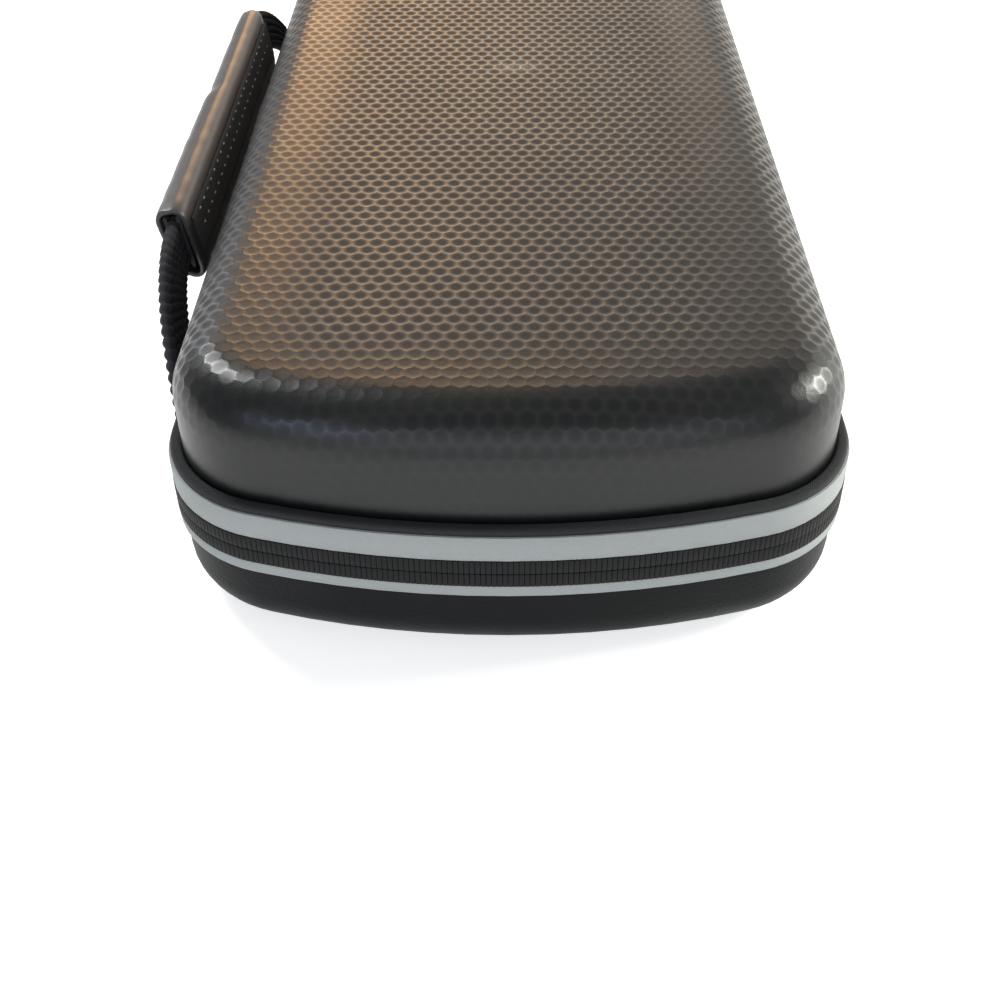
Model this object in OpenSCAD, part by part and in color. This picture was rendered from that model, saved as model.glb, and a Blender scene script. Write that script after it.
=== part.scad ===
// Zipped hard carrying case for a handheld console.
// Two moulded shells part at a zip band and turn on a fabric spine at the right-hand side.
// Origin: centre of the flat underside. X runs across, Y along the case, Z up.

/* [Case] */
// Width of the closed case over its zip band
case_w = 119; // [110:1:130]
// Length of the closed case over its zip band
case_l = 262; // [245:1:280]
// Height of the closed case
case_h = 49; // [46:0.5:56]
// Distance between the centre of a corner arc and the centre of its shallow end arc
arc_run = 130; // [120:1:140]
// Wall of the moulded foam shells
shell_wall = 3; // [2.4:0.1:3.4]
// Wall of the fleece linings
lining_wall = 1; // [0.7:0.1:1.2]
// Bare clearance between skins that lie on each other
skin_gap = 0.1; // [0.05:0.01:0.15]

/* [Lid] */
// How far the lid wall stands in from the zip band
lid_inset = 2.6; // [2:0.1:3.2]
// Outer radius of the lid's top edge
lid_round = 9.7; // [8:0.1:11]
// Height of the black rim under the lid wall
rim_h = 1.4; // [1:0.1:1.8]
// How far the rim's outer edge stands in from the zip band
rim_inset = 0.4; // [0.2:0.1:0.7]
// Depth of the flange behind the lid's zip tape
lid_flange_h = 2.9; // [2.4:0.1:3.2]

/* [Base] */
// How far the base wall stands in from the zip band
base_inset = 1; // [0.95:0.05:1.4]
// Outer radius of the base's bottom edge
base_round = 9; // [7:0.1:10]

/* [Zip] */
// Height of the seam where the two halves part
seam_z = 20.5; // [19.5:0.5:23]
// Free gap between the two rows of coil
coil_gap = 1; // [0.9:0.05:1.2]
// Height of one row of coil
coil_h = 2.3; // [1.9:0.1:2.6]
// Thickness of the coil
coil_t = 1.6; // [1.4:0.1:1.8]
// How far the coil stands proud of the zip tape
coil_proud = 0.1; // [0:0.02:0.15]
// Thickness of the zip tape
tape_t = 0.9; // [0.7:0.05:0.9]
// Width of the tape that shows between the coil and the lid's rim
lid_tape_h = 4.9; // [4.2:0.1:5.4]
// Width of the tape that shows between the coil and the base
base_tape_h = 2.2; // [2:0.1:2.6]
// How far the base wall reaches up behind its tape
tape_lap = 0.8; // [0.5:0.1:1]
// Thickness of the bindings over the inner edges
binding_t = 0.7; // [0.5:0.1:0.8]

/* [Spine] */
// Half of the length of the fabric spine
spine_half = 75; // [60:1:90]
// Radius of the cord that the spine turns on
spine_cord_r = 1; // [0.9:0.05:1.1]
// Thickness of the spine's curled fabric
spine_curl_t = 0.6; // [0.5:0.05:0.7]
// How far the cord's axis stands out from the zip band
spine_out = 0.5; // [0.3:0.1:0.8]
// Running clearance round the spine's cord
spine_fit = 0.05; // [0.03:0.01:0.08]

/* [Sliders] */
// Distance of each slider from the middle of the handle side, with the zip shut
slider_rest = 9; // [8:0.5:12]
// Thickness of a slider's plates
slider_t = 1.15; // [1:0.05:1.2]
// Clearance between a slider and the coil
slider_gap = 0.25; // [0.2:0.05:0.3]
// Half of the height of a slider at its wide nose
nose_r = 3.8; // [3.4:0.1:4]
// Half of the height of a slider at its narrow tail
tail_half = 2.9; // [2.5:0.1:3.2]
// Length from a slider's nose centre to its tail
tail_l = 5; // [4:0.5:6]
// Half of the height of a slider's inner plate, which stays between the two tapes
inner_half = 2.7; // [2.4:0.05:2.75]
// Thickness of the web that passes between the two coils
web_t = 0.5; // [0.4:0.05:0.55]
// Radius of the bar that carries the pull
bar_r = 0.7; // [0.6:0.05:0.8]
// Free length of the bar between its two posts
bar_l = 5.6; // [5:0.1:6]
// Length of each post along the bar
post_l = 1; // [0.8:0.1:1.2]
// Running clearance of the pull's eye on the bar
eye_fit = 0.08; // [0.05:0.01:0.1]
// Wall of the pull's eye
eye_wall = 0.75; // [0.6:0.05:0.8]
// Distance from the bar to the lowest point of the pull
pull_drop = 15.5; // [13:0.5:16]
// Width of the moulded pull tab
pull_w = 6.4; // [5.5:0.1:7]
// Thickness of the moulded pull tab
pull_t = 2; // [1.8:0.1:2.1]
// Thickness of the metal link
link_t = 0.9; // [0.8:0.05:1]

/* [Handle] */
// Length of the padded grip
grip_l = 108; // [100:1:116]
// Height of the grip
grip_h = 15.6; // [14.6:0.2:18]
// Thickness of the grip
grip_t = 6.2; // [5.8:0.1:7]
// Wall of the grip's outer wrap
wrap_wall = 1; // [0.8:0.1:1.1]
// Height of the grip's centre above the ground
grip_z = 38.3; // [36.5:0.1:40]
// Distance from the zip band to the grip's centre
grip_out = 6.1; // [5.9:0.1:8]
// How far the grip leans away from the lid, in degrees
grip_lean = 9; // [0:1:12]
// Width of the webbing
webbing_w = 9; // [8:0.5:9.5]
// Thickness of the webbing
webbing_t = 1.6; // [1.3:0.1:1.8]
// Free space between the webbing and the grip's foam
webbing_fit = 0.25; // [0.2:0.05:0.3]
// Distance of each anchor's inner edge from the end of the case
anchor_end = 50; // [46:0.5:52]
// Height of each sewn anchor
anchor_h = 9; // [8:0.1:9.2]
// Thickness of the doubled webbing in an anchor
anchor_t = 2; // [1.6:0.1:2.2]
// Height of the anchor's lower edge
anchor_z = 5.6; // [5.2:0.1:6]
// Height of the stitched overlap on the grip's inner face
overlap_h = 9; // [7:0.5:10]
// Thickness of the stitched overlap
overlap_t = 0.5; // [0.3:0.1:0.6]

/* [Inside] */
// Height of the console tray's upper edge
tray_top = 19.4; // [18.5:0.1:19.6]
// Height of the pads that carry the console
pad_z = 8.4; // [7:0.1:9.5]
// Height of the tray's lowest floor, under the triggers
relief_z = 5.4; // [5.2:0.1:6]
// Thickness of the tray's wall
tray_wall = 2.4; // [2:0.1:3]
// Radius of the finger scoops in the tray's long walls
scoop_r = 15; // [12:0.5:17]
// Length of the trigger reliefs along the case
relief_l = 42; // [36:1:46]
// Distance of the trigger reliefs' centres from the end of the case
relief_end = 45; // [41:1:49]
// Width of the spine of padding left between the reliefs
relief_rib = 14; // [10:1:20]
// Height of the card page's underside
page_z = 30.4; // [29.5:0.1:31]
// Thickness of the card page's board
page_t = 1.8; // [1.4:0.1:2]
// Distance of the card page's edge from the zip band
page_inset = 9.6; // [9.2:0.1:11]
// Columns of card pockets along the page
card_cols = 5; // [4:1:6]
// Width of one card pocket, along the page
card_w = 34; // [28:1:36]
// Height of one card pocket, across the page
card_h = 30; // [26:1:34]
// Thickness of one card pocket
card_t = 1.6; // [1.2:0.1:1.8]
// Height of the net pocket's plane
net_z = 37; // [36.2:0.1:38]
// Thickness of the net
net_t = 0.6; // [0.5:0.1:0.8]
// Pitch of the net's meshes
net_pitch = 9; // [8:0.5:12]
// Width of the net's strands
net_strand = 1.4; // [1:0.1:2]
// Distance of the pocket's open edge from the handle-side lining
mouth_w = 9; // [8:0.5:14]

/* [Hidden] */
$fn = 72;
fine_fn = 360;
small_fn = 36;
over = 1;

// Plan outline of the zip band: four corner arcs, two shallow end arcs, two straight sides.
// A corner arc and an end arc meet on the slope of a 7-24-25 triangle, which keeps them tangent.
meet = [0.28, 0.96];
half_w = case_w / 2;
half_l = case_l / 2;
corner_x = meet[0] * arc_run;
corner_r = half_w - corner_x;
end_r = corner_r + arc_run;
end_y = half_l - end_r;
corner_y = end_y + meet[1] * arc_run;
// The reach of the cutting wedges goes in steps that keep both legs of the slope whole
wedge_step = 25;
wedge_share = 1.15;
wedge_reach = wedge_step * ceil(wedge_share * end_r / wedge_step);

// Levels of the band, counted from the ground
base_coil_top = seam_z - coil_gap / 2;
base_coil_low = base_coil_top - coil_h;
base_tape_low = base_coil_low - base_tape_h;
base_wall_top = base_tape_low + tape_lap;
lid_coil_low = seam_z + coil_gap / 2;
lid_coil_top = lid_coil_low + coil_h;
lid_tape_top = lid_coil_top + lid_tape_h;
rim_top = lid_tape_top + rim_h;
lid_flange_low = lid_tape_top - lid_flange_h;

// Faces of the skins, counted outward from the band's outline
tape_in = -tape_t - skin_gap;
base_in = -base_inset - shell_wall;
base_lining_out = base_in - skin_gap;
base_lining_in = base_lining_out - lining_wall;
tray_out = base_lining_in - skin_gap;
well_out = tray_out - tray_wall;
lid_in = -lid_inset - shell_wall;
lid_lining_out = lid_in - skin_gap;
lid_lining_in = lid_lining_out - lining_wall;
lid_ceiling = case_h - shell_wall - skin_gap - lining_wall;
base_floor = shell_wall + skin_gap + lining_wall;
relief_y = half_l - relief_end;

// Spine axis
spine_x = half_w + spine_out;
curl_r = spine_cord_r + spine_fit;
curl_out = curl_r + spine_curl_t;
base_curl = [165, 222];
lid_curl = [45, 120];
curl_sides = 4;

// Zip slider
slider_front = coil_proud + slider_gap;
slider_face = slider_front + slider_t;
slider_back = coil_proud - coil_t - slider_gap;
eye_r = bar_r + eye_fit;
eye_out = eye_r + eye_wall;
bar_out = slider_face + eye_out + slider_gap;
eye_side_gap = 0.4;
eye_l = bar_l - 2 * eye_side_gap;
link_l = 5.5;
link_w = 3.6;

// Handle
edge_flat = 0.1;
wrap_r = grip_t / 2 - edge_flat;
overlap_end = 2;
foam_end = 1;
grip_foam_t = grip_t - 2 * wrap_wall - 2 * skin_gap;
grip_foam_h = grip_h - 2 * wrap_wall - 2 * skin_gap;
anchor_y = half_l - anchor_end;
anchor_gap = 0.4;
swing_out = 1.2;
leg_start = grip_l / 2;
leg_foot = anchor_z + anchor_h + anchor_gap;
leg_twist = 0.6;
loop_power = 1.11;
out_power = 2.4;
leg_steps = 16;

// Card page
page_out = -page_inset;
page_top = page_z + page_t;
page_bind_t = 1.1;
page_lip = 0.3;
page_bind_low = page_z - page_lip;
page_bind_top = page_top + page_lip;
tab_l = 10;
tab_w = 18;
tab_t = 1;
tab_corner = 2;
tab_out = 1.1;
page_bead_r = 0.8;
page_bead_gap = 0.4;
hem_t = 0.8;
hem_inset = 0.2;
page_axis_x = half_w + tray_out - tray_wall / 2;
page_axis_z = tray_top + hem_t + page_bead_gap + page_bead_r;
page_hinge_end = 7.7;
page_hinge_half = corner_y - page_hinge_end;
page_edge_x = half_w + page_out;
hinge_cloth = 0.8;

// Net pocket
net_edge = -half_w - lid_lining_in + mouth_w;
elastic_w = 6;
elastic_t = 1.4;
net_out = lid_lining_in - 2 * skin_gap;

// Plan outline offset by o, as a flat shape
module outline(o) {
    square([2 * (half_w + o), 2 * corner_y], center = true);
    for (sx = [-1, 1], sy = [-1, 1]) {
        translate([sx * corner_x, sy * corner_y]) circle(corner_r + o);
    }
    for (turn = [0, 180]) rotate(turn) translate([0, end_y]) intersection() {
        circle(end_r + o, $fn = fine_fn);
        polygon([[0, 0], wedge_reach * meet, [-wedge_reach * meet[0], wedge_reach * meet[1]]]);
    }
}

// Sweeps a flat profile round the band; its x is the distance outward from the outline.
// A stretch of the hinge side, gap to each side of the middle, is left out.
module sweep(gap = 0) {
    for (sx = [0, 1], sy = [0, 1]) mirror([sx, 0, 0]) mirror([0, sy, 0]) {
        quarter_arcs() children();
        side_run(sx == 1 ? 0 : gap, corner_y) children();
    }
}

// Corner arc and half of an end arc, each cut off on the line where the two meet
module quarter_arcs() {
    tall = 2 * case_h;
    translate([corner_x, corner_y, 0]) intersection() {
        rotate_extrude(angle = 90) translate([corner_r, 0]) children();
        translate([0, 0, -over]) linear_extrude(tall)
            polygon([
                -meet, [wedge_reach, -meet[1]],
                [wedge_reach, wedge_reach * meet[1]], wedge_reach * meet
            ]);
    }
    translate([0, end_y, 0]) intersection() {
        rotate_extrude(angle = 90, $fn = fine_fn) translate([end_r, 0]) children();
        translate([0, 0, -over]) linear_extrude(tall)
            polygon([
                -meet, wedge_reach * meet,
                [-over, wedge_reach * meet[1]], [-over, -meet[1]]
            ]);
    }
}

// Straight run of a profile along the hinge side, from y0 to y1
module side_run(y0, y1) {
    translate([0, y1, 0]) rotate([90, 0, 0]) linear_extrude(y1 - y0)
        translate([half_w, 0]) children();
}

// Upright rectangle of a profile, between two offsets and two heights
module band(inner, outer, low, high) {
    translate([inner, low]) square([outer - inner, high - low]);
}

// Profile of a solid that ends at an outer face with a rounded bottom edge
module round_edge(out, round_r, low, high, back) {
    band(back, out - round_r, low, high);
    band(back, out, low + round_r, high);
    intersection() {
        translate([out - round_r, low + round_r]) circle(round_r);
        band(out - round_r, out + over, low - over, low + round_r);
    }
}

// Open tray with a rounded bottom edge: outer face, wall, radius, lowest and highest point
module bowl(out, wall, round_r, low, high) {
    flat = out - round_r - over;
    sweep() difference() {
        round_edge(out, round_r, low, high, flat);
        round_edge(out - wall, round_r - wall, low + wall, high + over, flat - over);
    }
    translate([0, 0, low]) linear_extrude(wall) outline(flat);
}

module base_shell() {
    color("#1d1d1f") bowl(-base_inset, shell_wall, base_round, 0, base_wall_top);
}

module base_lining() {
    color("#2b2b2e") bowl(base_lining_out, lining_wall, base_round - shell_wall - skin_gap,
        shell_wall + skin_gap, base_wall_top);
}

// Solid block with a rounded bottom edge that fills the lined base
module tray_block() {
    edge_r = base_round - shell_wall - lining_wall - 2 * skin_gap;
    low = base_floor + skin_gap;
    flat = tray_out - edge_r - over;
    sweep() round_edge(tray_out, edge_r, low, tray_top, flat);
    translate([0, 0, low]) linear_extrude(tray_top - low) outline(flat);
}

// Moulded insert: a well for the console, deeper reliefs for its triggers, finger scoops
module console_tray() {
    relief_edge = 6;
    relief_r = 6;
    scoop_lift = 3;
    relief_w = 2 * (half_w + well_out - relief_edge);
    color("#343438") difference() {
        tray_block();
        translate([0, 0, pad_z]) linear_extrude(tray_top) outline(well_out);
        for (sx = [-1, 1], sy = [-1, 1]) {
            translate([sx * (relief_w + relief_rib) / 4, sy * relief_y, relief_z])
                rounded_block((relief_w - relief_rib) / 2, relief_l, tray_top, relief_r);
        }
        translate([-half_w, 0, tray_top + scoop_lift]) rotate([0, 90, 0])
            cylinder(r = scoop_r, h = case_w);
    }
}

// Upright block with rounded corners, centred in plan
module rounded_block(w, l, h, r) {
    linear_extrude(h) rounded_plate(w, l, r);
}

// Flat plate with rounded corners
module rounded_plate(w, l, r) {
    square([w - 2 * r, l], center = true);
    square([w, l - 2 * r], center = true);
    for (sx = [-1, 1], sy = [-1, 1]) {
        translate([sx * (w / 2 - r), sy * (l / 2 - r)]) circle(r);
    }
}

module base_zip_tape() {
    color("#a5aaac") sweep(spine_half) band(-tape_t, 0, base_tape_low, base_coil_low);
}

module lid_zip_tape() {
    color("#a5aaac") sweep(spine_half) band(-tape_t, 0, lid_coil_top, lid_tape_top);
}

// One row of coil, flat at its tape and round at the seam
module coil_profile() {
    nose = coil_t / 2;
    band(coil_proud - coil_t, coil_proud, base_coil_low, base_coil_top - nose);
    translate([coil_proud - nose, base_coil_top - nose]) circle(nose);
}

module base_coil() {
    color("#1a1a1c") sweep(spine_half) coil_profile();
}

module lid_coil() {
    color("#1a1a1c") translate([0, 0, 2 * seam_z]) mirror([0, 0, 1])
        sweep(spine_half) coil_profile();
}

module base_binding() {
    color("#232326") sweep() band(base_lining_in, tape_in, base_wall_top, base_wall_top + binding_t);
}

module lid_shell() {
    color("#1d1d1f") {
        translate([0, 0, case_h + lid_flange_low]) mirror([0, 0, 1])
            bowl(-lid_inset, shell_wall, lid_round, lid_flange_low, case_h);
        sweep() band(-lid_inset - shell_wall / 2, tape_in, lid_flange_low, lid_tape_top);
    }
}

module lid_lining() {
    color("#2b2b2e") translate([0, 0, case_h - shell_wall - skin_gap + lid_flange_low]) mirror([0, 0, 1])
        bowl(lid_lining_out, lining_wall, lid_round - shell_wall - skin_gap,
            lid_flange_low, case_h - shell_wall - skin_gap);
}

// Woven rim on top of the tape, rounded on both upper edges so that a groove runs along the wall
module lid_rim() {
    edge = rim_h / 2;
    inner = -lid_inset + skin_gap;
    color("#202022") sweep() {
        band(inner, -rim_inset, lid_tape_top, rim_top - edge);
        band(inner + edge, -rim_inset - edge, lid_tape_top, rim_top);
        translate([inner + edge, rim_top - edge]) circle(edge);
        translate([-rim_inset - edge, rim_top - edge]) circle(edge);
    }
}

module lid_binding() {
    color("#232326") sweep()
        band(lid_lining_in, tape_in, lid_flange_low - binding_t, lid_flange_low);
}

// Part ring round the spine's axis between two angles, in the XZ plane
module curl(from, to) {
    translate([spine_out, seam_z]) difference() {
        intersection() {
            circle(curl_out);
            polygon([
                [0, 0],
                for (i = [0 : curl_sides]) let (a = from + i * (to - from) / curl_sides)
                    2 * curl_out * [cos(a), sin(a)]
            ]);
        }
        circle(curl_r);
    }
}

module spine_leaf_base() {
    leaf_top = seam_z + spine_curl_t / 2;
    color("#222225") side_run(-spine_half, spine_half) {
        difference() {
            band(-tape_t, -tape_t + spine_curl_t, base_tape_low, leaf_top);
            translate([spine_out, seam_z]) circle(curl_r);
        }
        band(-tape_t, 0, base_tape_low, base_coil_low);
        curl(base_curl[0], base_curl[1]);
    }
}

module spine_leaf_lid() {
    color("#222225") side_run(-spine_half, spine_half) {
        band(-tape_t, 0, lid_coil_top, lid_tape_top);
        band(-tape_t, -tape_t + spine_curl_t, seam_z + curl_r, lid_coil_top + over);
        band(-tape_t, spine_out, seam_z + curl_r, seam_z + curl_out);
        curl(lid_curl[0], lid_curl[1]);
    }
}

module spine_cord() {
    color("#3a3a3e") translate([spine_x, spine_half, seam_z]) rotate([90, 0, 0])
        cylinder(r = spine_cord_r, h = 2 * spine_half);
}

// Metal staples that close the zip's two ends beside the spine
module zip_end_stops() {
    stop_l = 2.4;
    stop_t = 0.6;
    stop_out = coil_proud + skin_gap / 2;
    stop_gap = 3;
    stop_y = spine_half + stop_gap;
    for (sy = [-1, 1]) color("#6e6f72")
        translate([half_w + stop_out, sy * stop_y - stop_l / 2, base_coil_low])
            cube([stop_t, stop_l, coil_h]);
}

// Net across the lid, open along its handle-side edge
module pocket_net() {
    color("#4a4a4e") translate([0, 0, net_z]) linear_extrude(net_t) difference() {
        intersection() {
            outline(net_out);
            translate([net_edge + elastic_w, -half_l]) square([case_w, case_l]);
        }
        net_meshes();
    }
}

// Meshes of the net: as many whole squares as fit between its sewn edges
module net_meshes() {
    margin = 7;
    hem = 2;
    x0 = net_edge + elastic_w + hem;
    x1 = half_w + net_out - margin;
    cols = floor((x1 - x0) / net_pitch);
    rows = floor(2 * corner_y / net_pitch);
    hole = net_pitch - net_strand;
    for (i = [0 : cols - 1], j = [0 : rows - 1]) {
        translate([x0 + i * net_pitch, (j - rows / 2) * net_pitch]) square(hole);
    }
}

module pocket_elastic() {
    sewn_in = 8;
    run = 2 * (corner_y + sewn_in);
    color("#1b1b1d") translate([net_edge, -run / 2, net_z + (net_t - elastic_t) / 2])
        cube([elastic_w - skin_gap, run, elastic_t]);
}

// Tape that sews the net to the lining on its three closed sides
module pocket_binding() {
    strip_w = 3;
    strip_t = 0.9;
    color("#1b1b1d") translate([0, 0, net_z - strip_t]) linear_extrude(strip_t) intersection() {
        difference() {
            outline(lid_lining_in - skin_gap);
            outline(lid_lining_in - strip_w);
        }
        translate([net_edge + elastic_w, -half_l]) square([case_w, case_l]);
    }
}

// Stiffened page between the two halves
module page_board() {
    color("#2a2a2d") translate([0, 0, page_z]) linear_extrude(page_t)
        outline(page_out - page_bind_t - skin_gap);
}

module page_binding() {
    color("#1b1b1d") translate([0, 0, page_bind_low]) linear_extrude(page_bind_top - page_bind_low)
        difference() {
            outline(page_out);
            outline(page_out - page_bind_t);
        }
}

// Cloth strip that joins the page to the tray's edge, with a sewn bead on the axis
module page_hinge() {
    sewn_l = 5.4;
    sewn_in = 2.6;
    rise = page_bind_low - page_axis_z;
    run = page_edge_x - sewn_in - page_axis_x;
    lean = atan2(rise, run);
    color("#1b1b1d") translate([0, page_hinge_half, 0]) rotate([90, 0, 0])
        linear_extrude(2 * page_hinge_half) {
            translate([page_axis_x, page_axis_z]) {
                circle(page_bead_r);
                rotate(lean) translate([0, -hinge_cloth / 2])
                    square([sqrt(rise * rise + run * run) - hinge_cloth / 2, hinge_cloth]);
            }
            translate([page_edge_x - sewn_in - sewn_l, page_bind_low - hinge_cloth])
                square([sewn_l, hinge_cloth]);
        }
}

// Hem that carries the page's bead on the tray's upper edge
module page_hem() {
    color("#1b1b1d") translate([half_w + well_out + hem_inset, -page_hinge_half, tray_top])
        cube([tray_wall - hem_inset - skin_gap, 2 * page_hinge_half, hem_t]);
}

// Short tab for lifting the page, sewn over its edge on the handle side
module page_tab() {
    color("#1b1b1d") translate([tab_l / 2 - page_edge_x - tab_out, 0, page_bind_top + skin_gap / 2])
        linear_extrude(tab_t) rounded_plate(tab_l, tab_w, tab_corner);
}

// Two rows of card pockets, each with a thumb notch at its mouth
module card_pockets() {
    space = 4;
    row_shift = 3;
    corner = 2;
    notch_r = 7;
    pitch_y = card_w + space;
    color("#303034") for (row = [-1, 1], i = [0 : card_cols - 1]) {
        translate([row * (card_h / 2 + space) + row_shift, (i - (card_cols - 1) / 2) * pitch_y, page_top])
            linear_extrude(card_t) difference() {
                rounded_plate(card_h, card_w, corner);
                translate([-card_h / 2, 0]) circle(notch_r);
            }
    }
}

// Puts a piece on the handle side: x counts outward from the band
module handle_side(y) {
    translate([-half_w, y, 0]) mirror([1, 0, 0]) children();
}

// Turns a flat shape upright, so that it reads as Y and Z and its thickness as X
module upright(x, t) {
    translate([x, 0, 0]) rotate([90, 0, 90]) linear_extrude(t) children();
}

// Slider outline, wide and round at its nose, narrow at its tail
module slider_plate(nose, tail) {
    circle(nose);
    polygon([[0, -nose], [tail_l, -tail], [tail_l, tail], [0, nose]]);
}

module slider() {
    post_half = 0.9;
    color("#8d8f93") translate([0, 0, seam_z]) {
        upright(slider_front, slider_t) slider_plate(nose_r, tail_half);
        upright(slider_back - slider_t, slider_t)
            slider_plate(inner_half, min(tail_half, inner_half));
        translate([slider_back - over / 2, -nose_r / 2, -web_t / 2])
            cube([slider_front - slider_back + over, nose_r, web_t]);
        for (sy = [-1, 1]) {
            translate([slider_face - slider_t / 2, sy * (bar_l + post_l) / 2 - post_l / 2, -post_half])
                cube([bar_out + post_half - slider_face + slider_t / 2, post_l, 2 * post_half]);
        }
        translate([bar_out, -bar_l / 2 - post_l / 2, 0]) rotate([-90, 0, 0])
            cylinder(r = bar_r, h = bar_l + post_l, $fn = small_fn);
    }
}

// Metal link: an eye on the slider's bar and a flat tongue that the tab is moulded on
module pull_link() {
    color("#8d8f93") translate([bar_out, 0, seam_z]) difference() {
        union() {
            translate([0, -eye_l / 2, 0]) rotate([-90, 0, 0]) cylinder(r = eye_out, h = eye_l);
            translate([-link_t / 2, -link_w / 2, -link_l - eye_out])
                cube([link_t, link_w, link_l + eye_out]);
        }
        translate([0, -eye_l, 0]) rotate([-90, 0, 0]) cylinder(r = eye_r, h = 2 * eye_l);
    }
}

// Moulded tab round the link's tongue, with a round end and two grip dimples
module pull_tab() {
    tab_low = seam_z - pull_drop;
    neck = 1;
    tab_top = seam_z - eye_out - neck;
    end_half = pull_w / 2;
    top_half = 0.8 * end_half;
    dimple_r = 1.8;
    dimple_out = 1.4;
    hold = skin_gap / 2;
    color("#1b1b1d") difference() {
        upright(bar_out - pull_t / 2, pull_t) {
            translate([0, tab_low + end_half]) circle(end_half);
            polygon([
                [-end_half, tab_low + end_half], [end_half, tab_low + end_half],
                [top_half, tab_top], [-top_half, tab_top]
            ]);
        }
        translate([bar_out - link_t / 2 - hold, -link_w / 2 - hold, seam_z - eye_out - link_l - hold])
            cube([link_t + 2 * hold, link_w + 2 * hold, case_h]);
        for (side = [-1, 1]) {
            translate([bar_out + side * (pull_t / 2 + dimple_out), 0, tab_low + end_half])
                sphere(dimple_r, $fn = small_fn);
        }
    }
}

// Sewn webbing end on the base wall
module handle_anchor() {
    corner = 1;
    color("#19191b") upright(-base_inset + skin_gap / 2, anchor_t)
        translate([webbing_w / 2, anchor_z + anchor_h / 2]) rounded_plate(webbing_w, anchor_h, corner);
}

// A leg loops down from the grip's end to its anchor; s runs from the grip to the anchor.
// Its outer edge has edge = 1 and its inner edge has edge = 0.
function leg_y(s, edge) =
    leg_start + (anchor_y + edge * webbing_w - leg_start) * pow(sin(90 * s), loop_power);
function leg_z(s, edge) =
    leg_foot + (grip_z + (edge - 0.5) * webbing_w - leg_foot) * pow(cos(90 * s), loop_power);
function leg_out(s) = swing_out + (grip_out - swing_out) * pow(1 - s * s, out_power);
function leg_lean(s) = (1 - s) * webbing_w / 2 * sin(grip_lean) + leg_twist * sin(180 * s);
// Four corners of the webbing's section at s, on the side given by sign
function leg_ring(s, sign) = [
    for (c = [[-1, 0], [1, 0], [1, 1], [-1, 1]])
        [
            leg_out(s) + (2 * c[1] - 1) * leg_lean(s) + c[0] * webbing_t / 2,
            sign * leg_y(s, c[1]),
            leg_z(s, c[1])
        ]
];

module handle_webbing() {
    rings = [
        for (i = [leg_steps : -1 : 0]) leg_ring(i / leg_steps, -1),
        for (i = [0 : leg_steps]) leg_ring(i / leg_steps, 1)
    ];
    count = len(rings);
    points = [for (r = rings) for (p = r) p];
    sides = [
        for (k = [0 : count - 2]) for (c = [0 : 3])
            let (a = 4 * k + c, b = 4 * k + (c + 1) % 4) each [[a, b, b + 4], [a, b + 4, a + 4]]
    ];
    last = 4 * (count - 1);
    caps = [[0, 3, 2], [0, 2, 1], [last, last + 1, last + 2], [last, last + 2, last + 3]];
    color("#19191b") handle_side(0) polyhedron(points, concat(sides, caps));
}

// Bar of the grip along Y, from its section, leaning away from the lid
module grip_run(l) {
    translate([grip_out, l / 2, grip_z]) rotate([90, 0, 0]) linear_extrude(l)
        rotate(-grip_lean) children();
}

module grip_wrap() {
    color("#26221f") handle_side(0) {
        grip_run(grip_l) difference() {
            rounded_plate(grip_t, grip_h, wrap_r);
            rounded_plate(grip_t - 2 * wrap_wall, grip_h - 2 * wrap_wall, wrap_r - wrap_wall);
        }
        grip_run(grip_l - 2 * overlap_end) translate([-grip_t / 2 - overlap_t / 2 + edge_flat / 2, 0])
            square([overlap_t + edge_flat, overlap_h], center = true);
    }
}

module grip_foam() {
    color("#3a3a3c") handle_side(0) grip_run(grip_l - 2 * foam_end) difference() {
        rounded_plate(grip_foam_t, grip_foam_h, grip_foam_t / 2 - edge_flat);
        square([webbing_t + 2 * webbing_fit, webbing_w + 2 * webbing_fit], center = true);
    }
}

base_shell();
base_lining();
console_tray();
base_zip_tape();
base_coil();
base_binding();
spine_leaf_base();
spine_cord();
page_hem();
zip_end_stops();
handle_side(-anchor_y) mirror([0, 1, 0]) handle_anchor();  // handle_anchor_near
handle_side(anchor_y) handle_anchor();  // handle_anchor_far
lid_shell();
lid_lining();
lid_rim();
lid_zip_tape();
lid_coil();
lid_binding();
spine_leaf_lid();
pocket_net();
pocket_elastic();
pocket_binding();
page_board();
page_binding();
page_hinge();
page_tab();
card_pockets();
handle_side(-slider_rest) mirror([0, 1, 0]) slider();  // slider_near
handle_side(-slider_rest) pull_link();  // pull_link_near
handle_side(-slider_rest) pull_tab();  // pull_tab_near
handle_side(slider_rest) slider();  // slider_far
handle_side(slider_rest) pull_link();  // pull_link_far
handle_side(slider_rest) pull_tab();  // pull_tab_far
handle_webbing();
grip_wrap();
grip_foam();
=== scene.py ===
"""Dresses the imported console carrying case: embossed lid skin, zip band, handle, spine and the fleece inside."""
import math

import bpy
from mathutils import Matrix, Vector, noise


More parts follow.
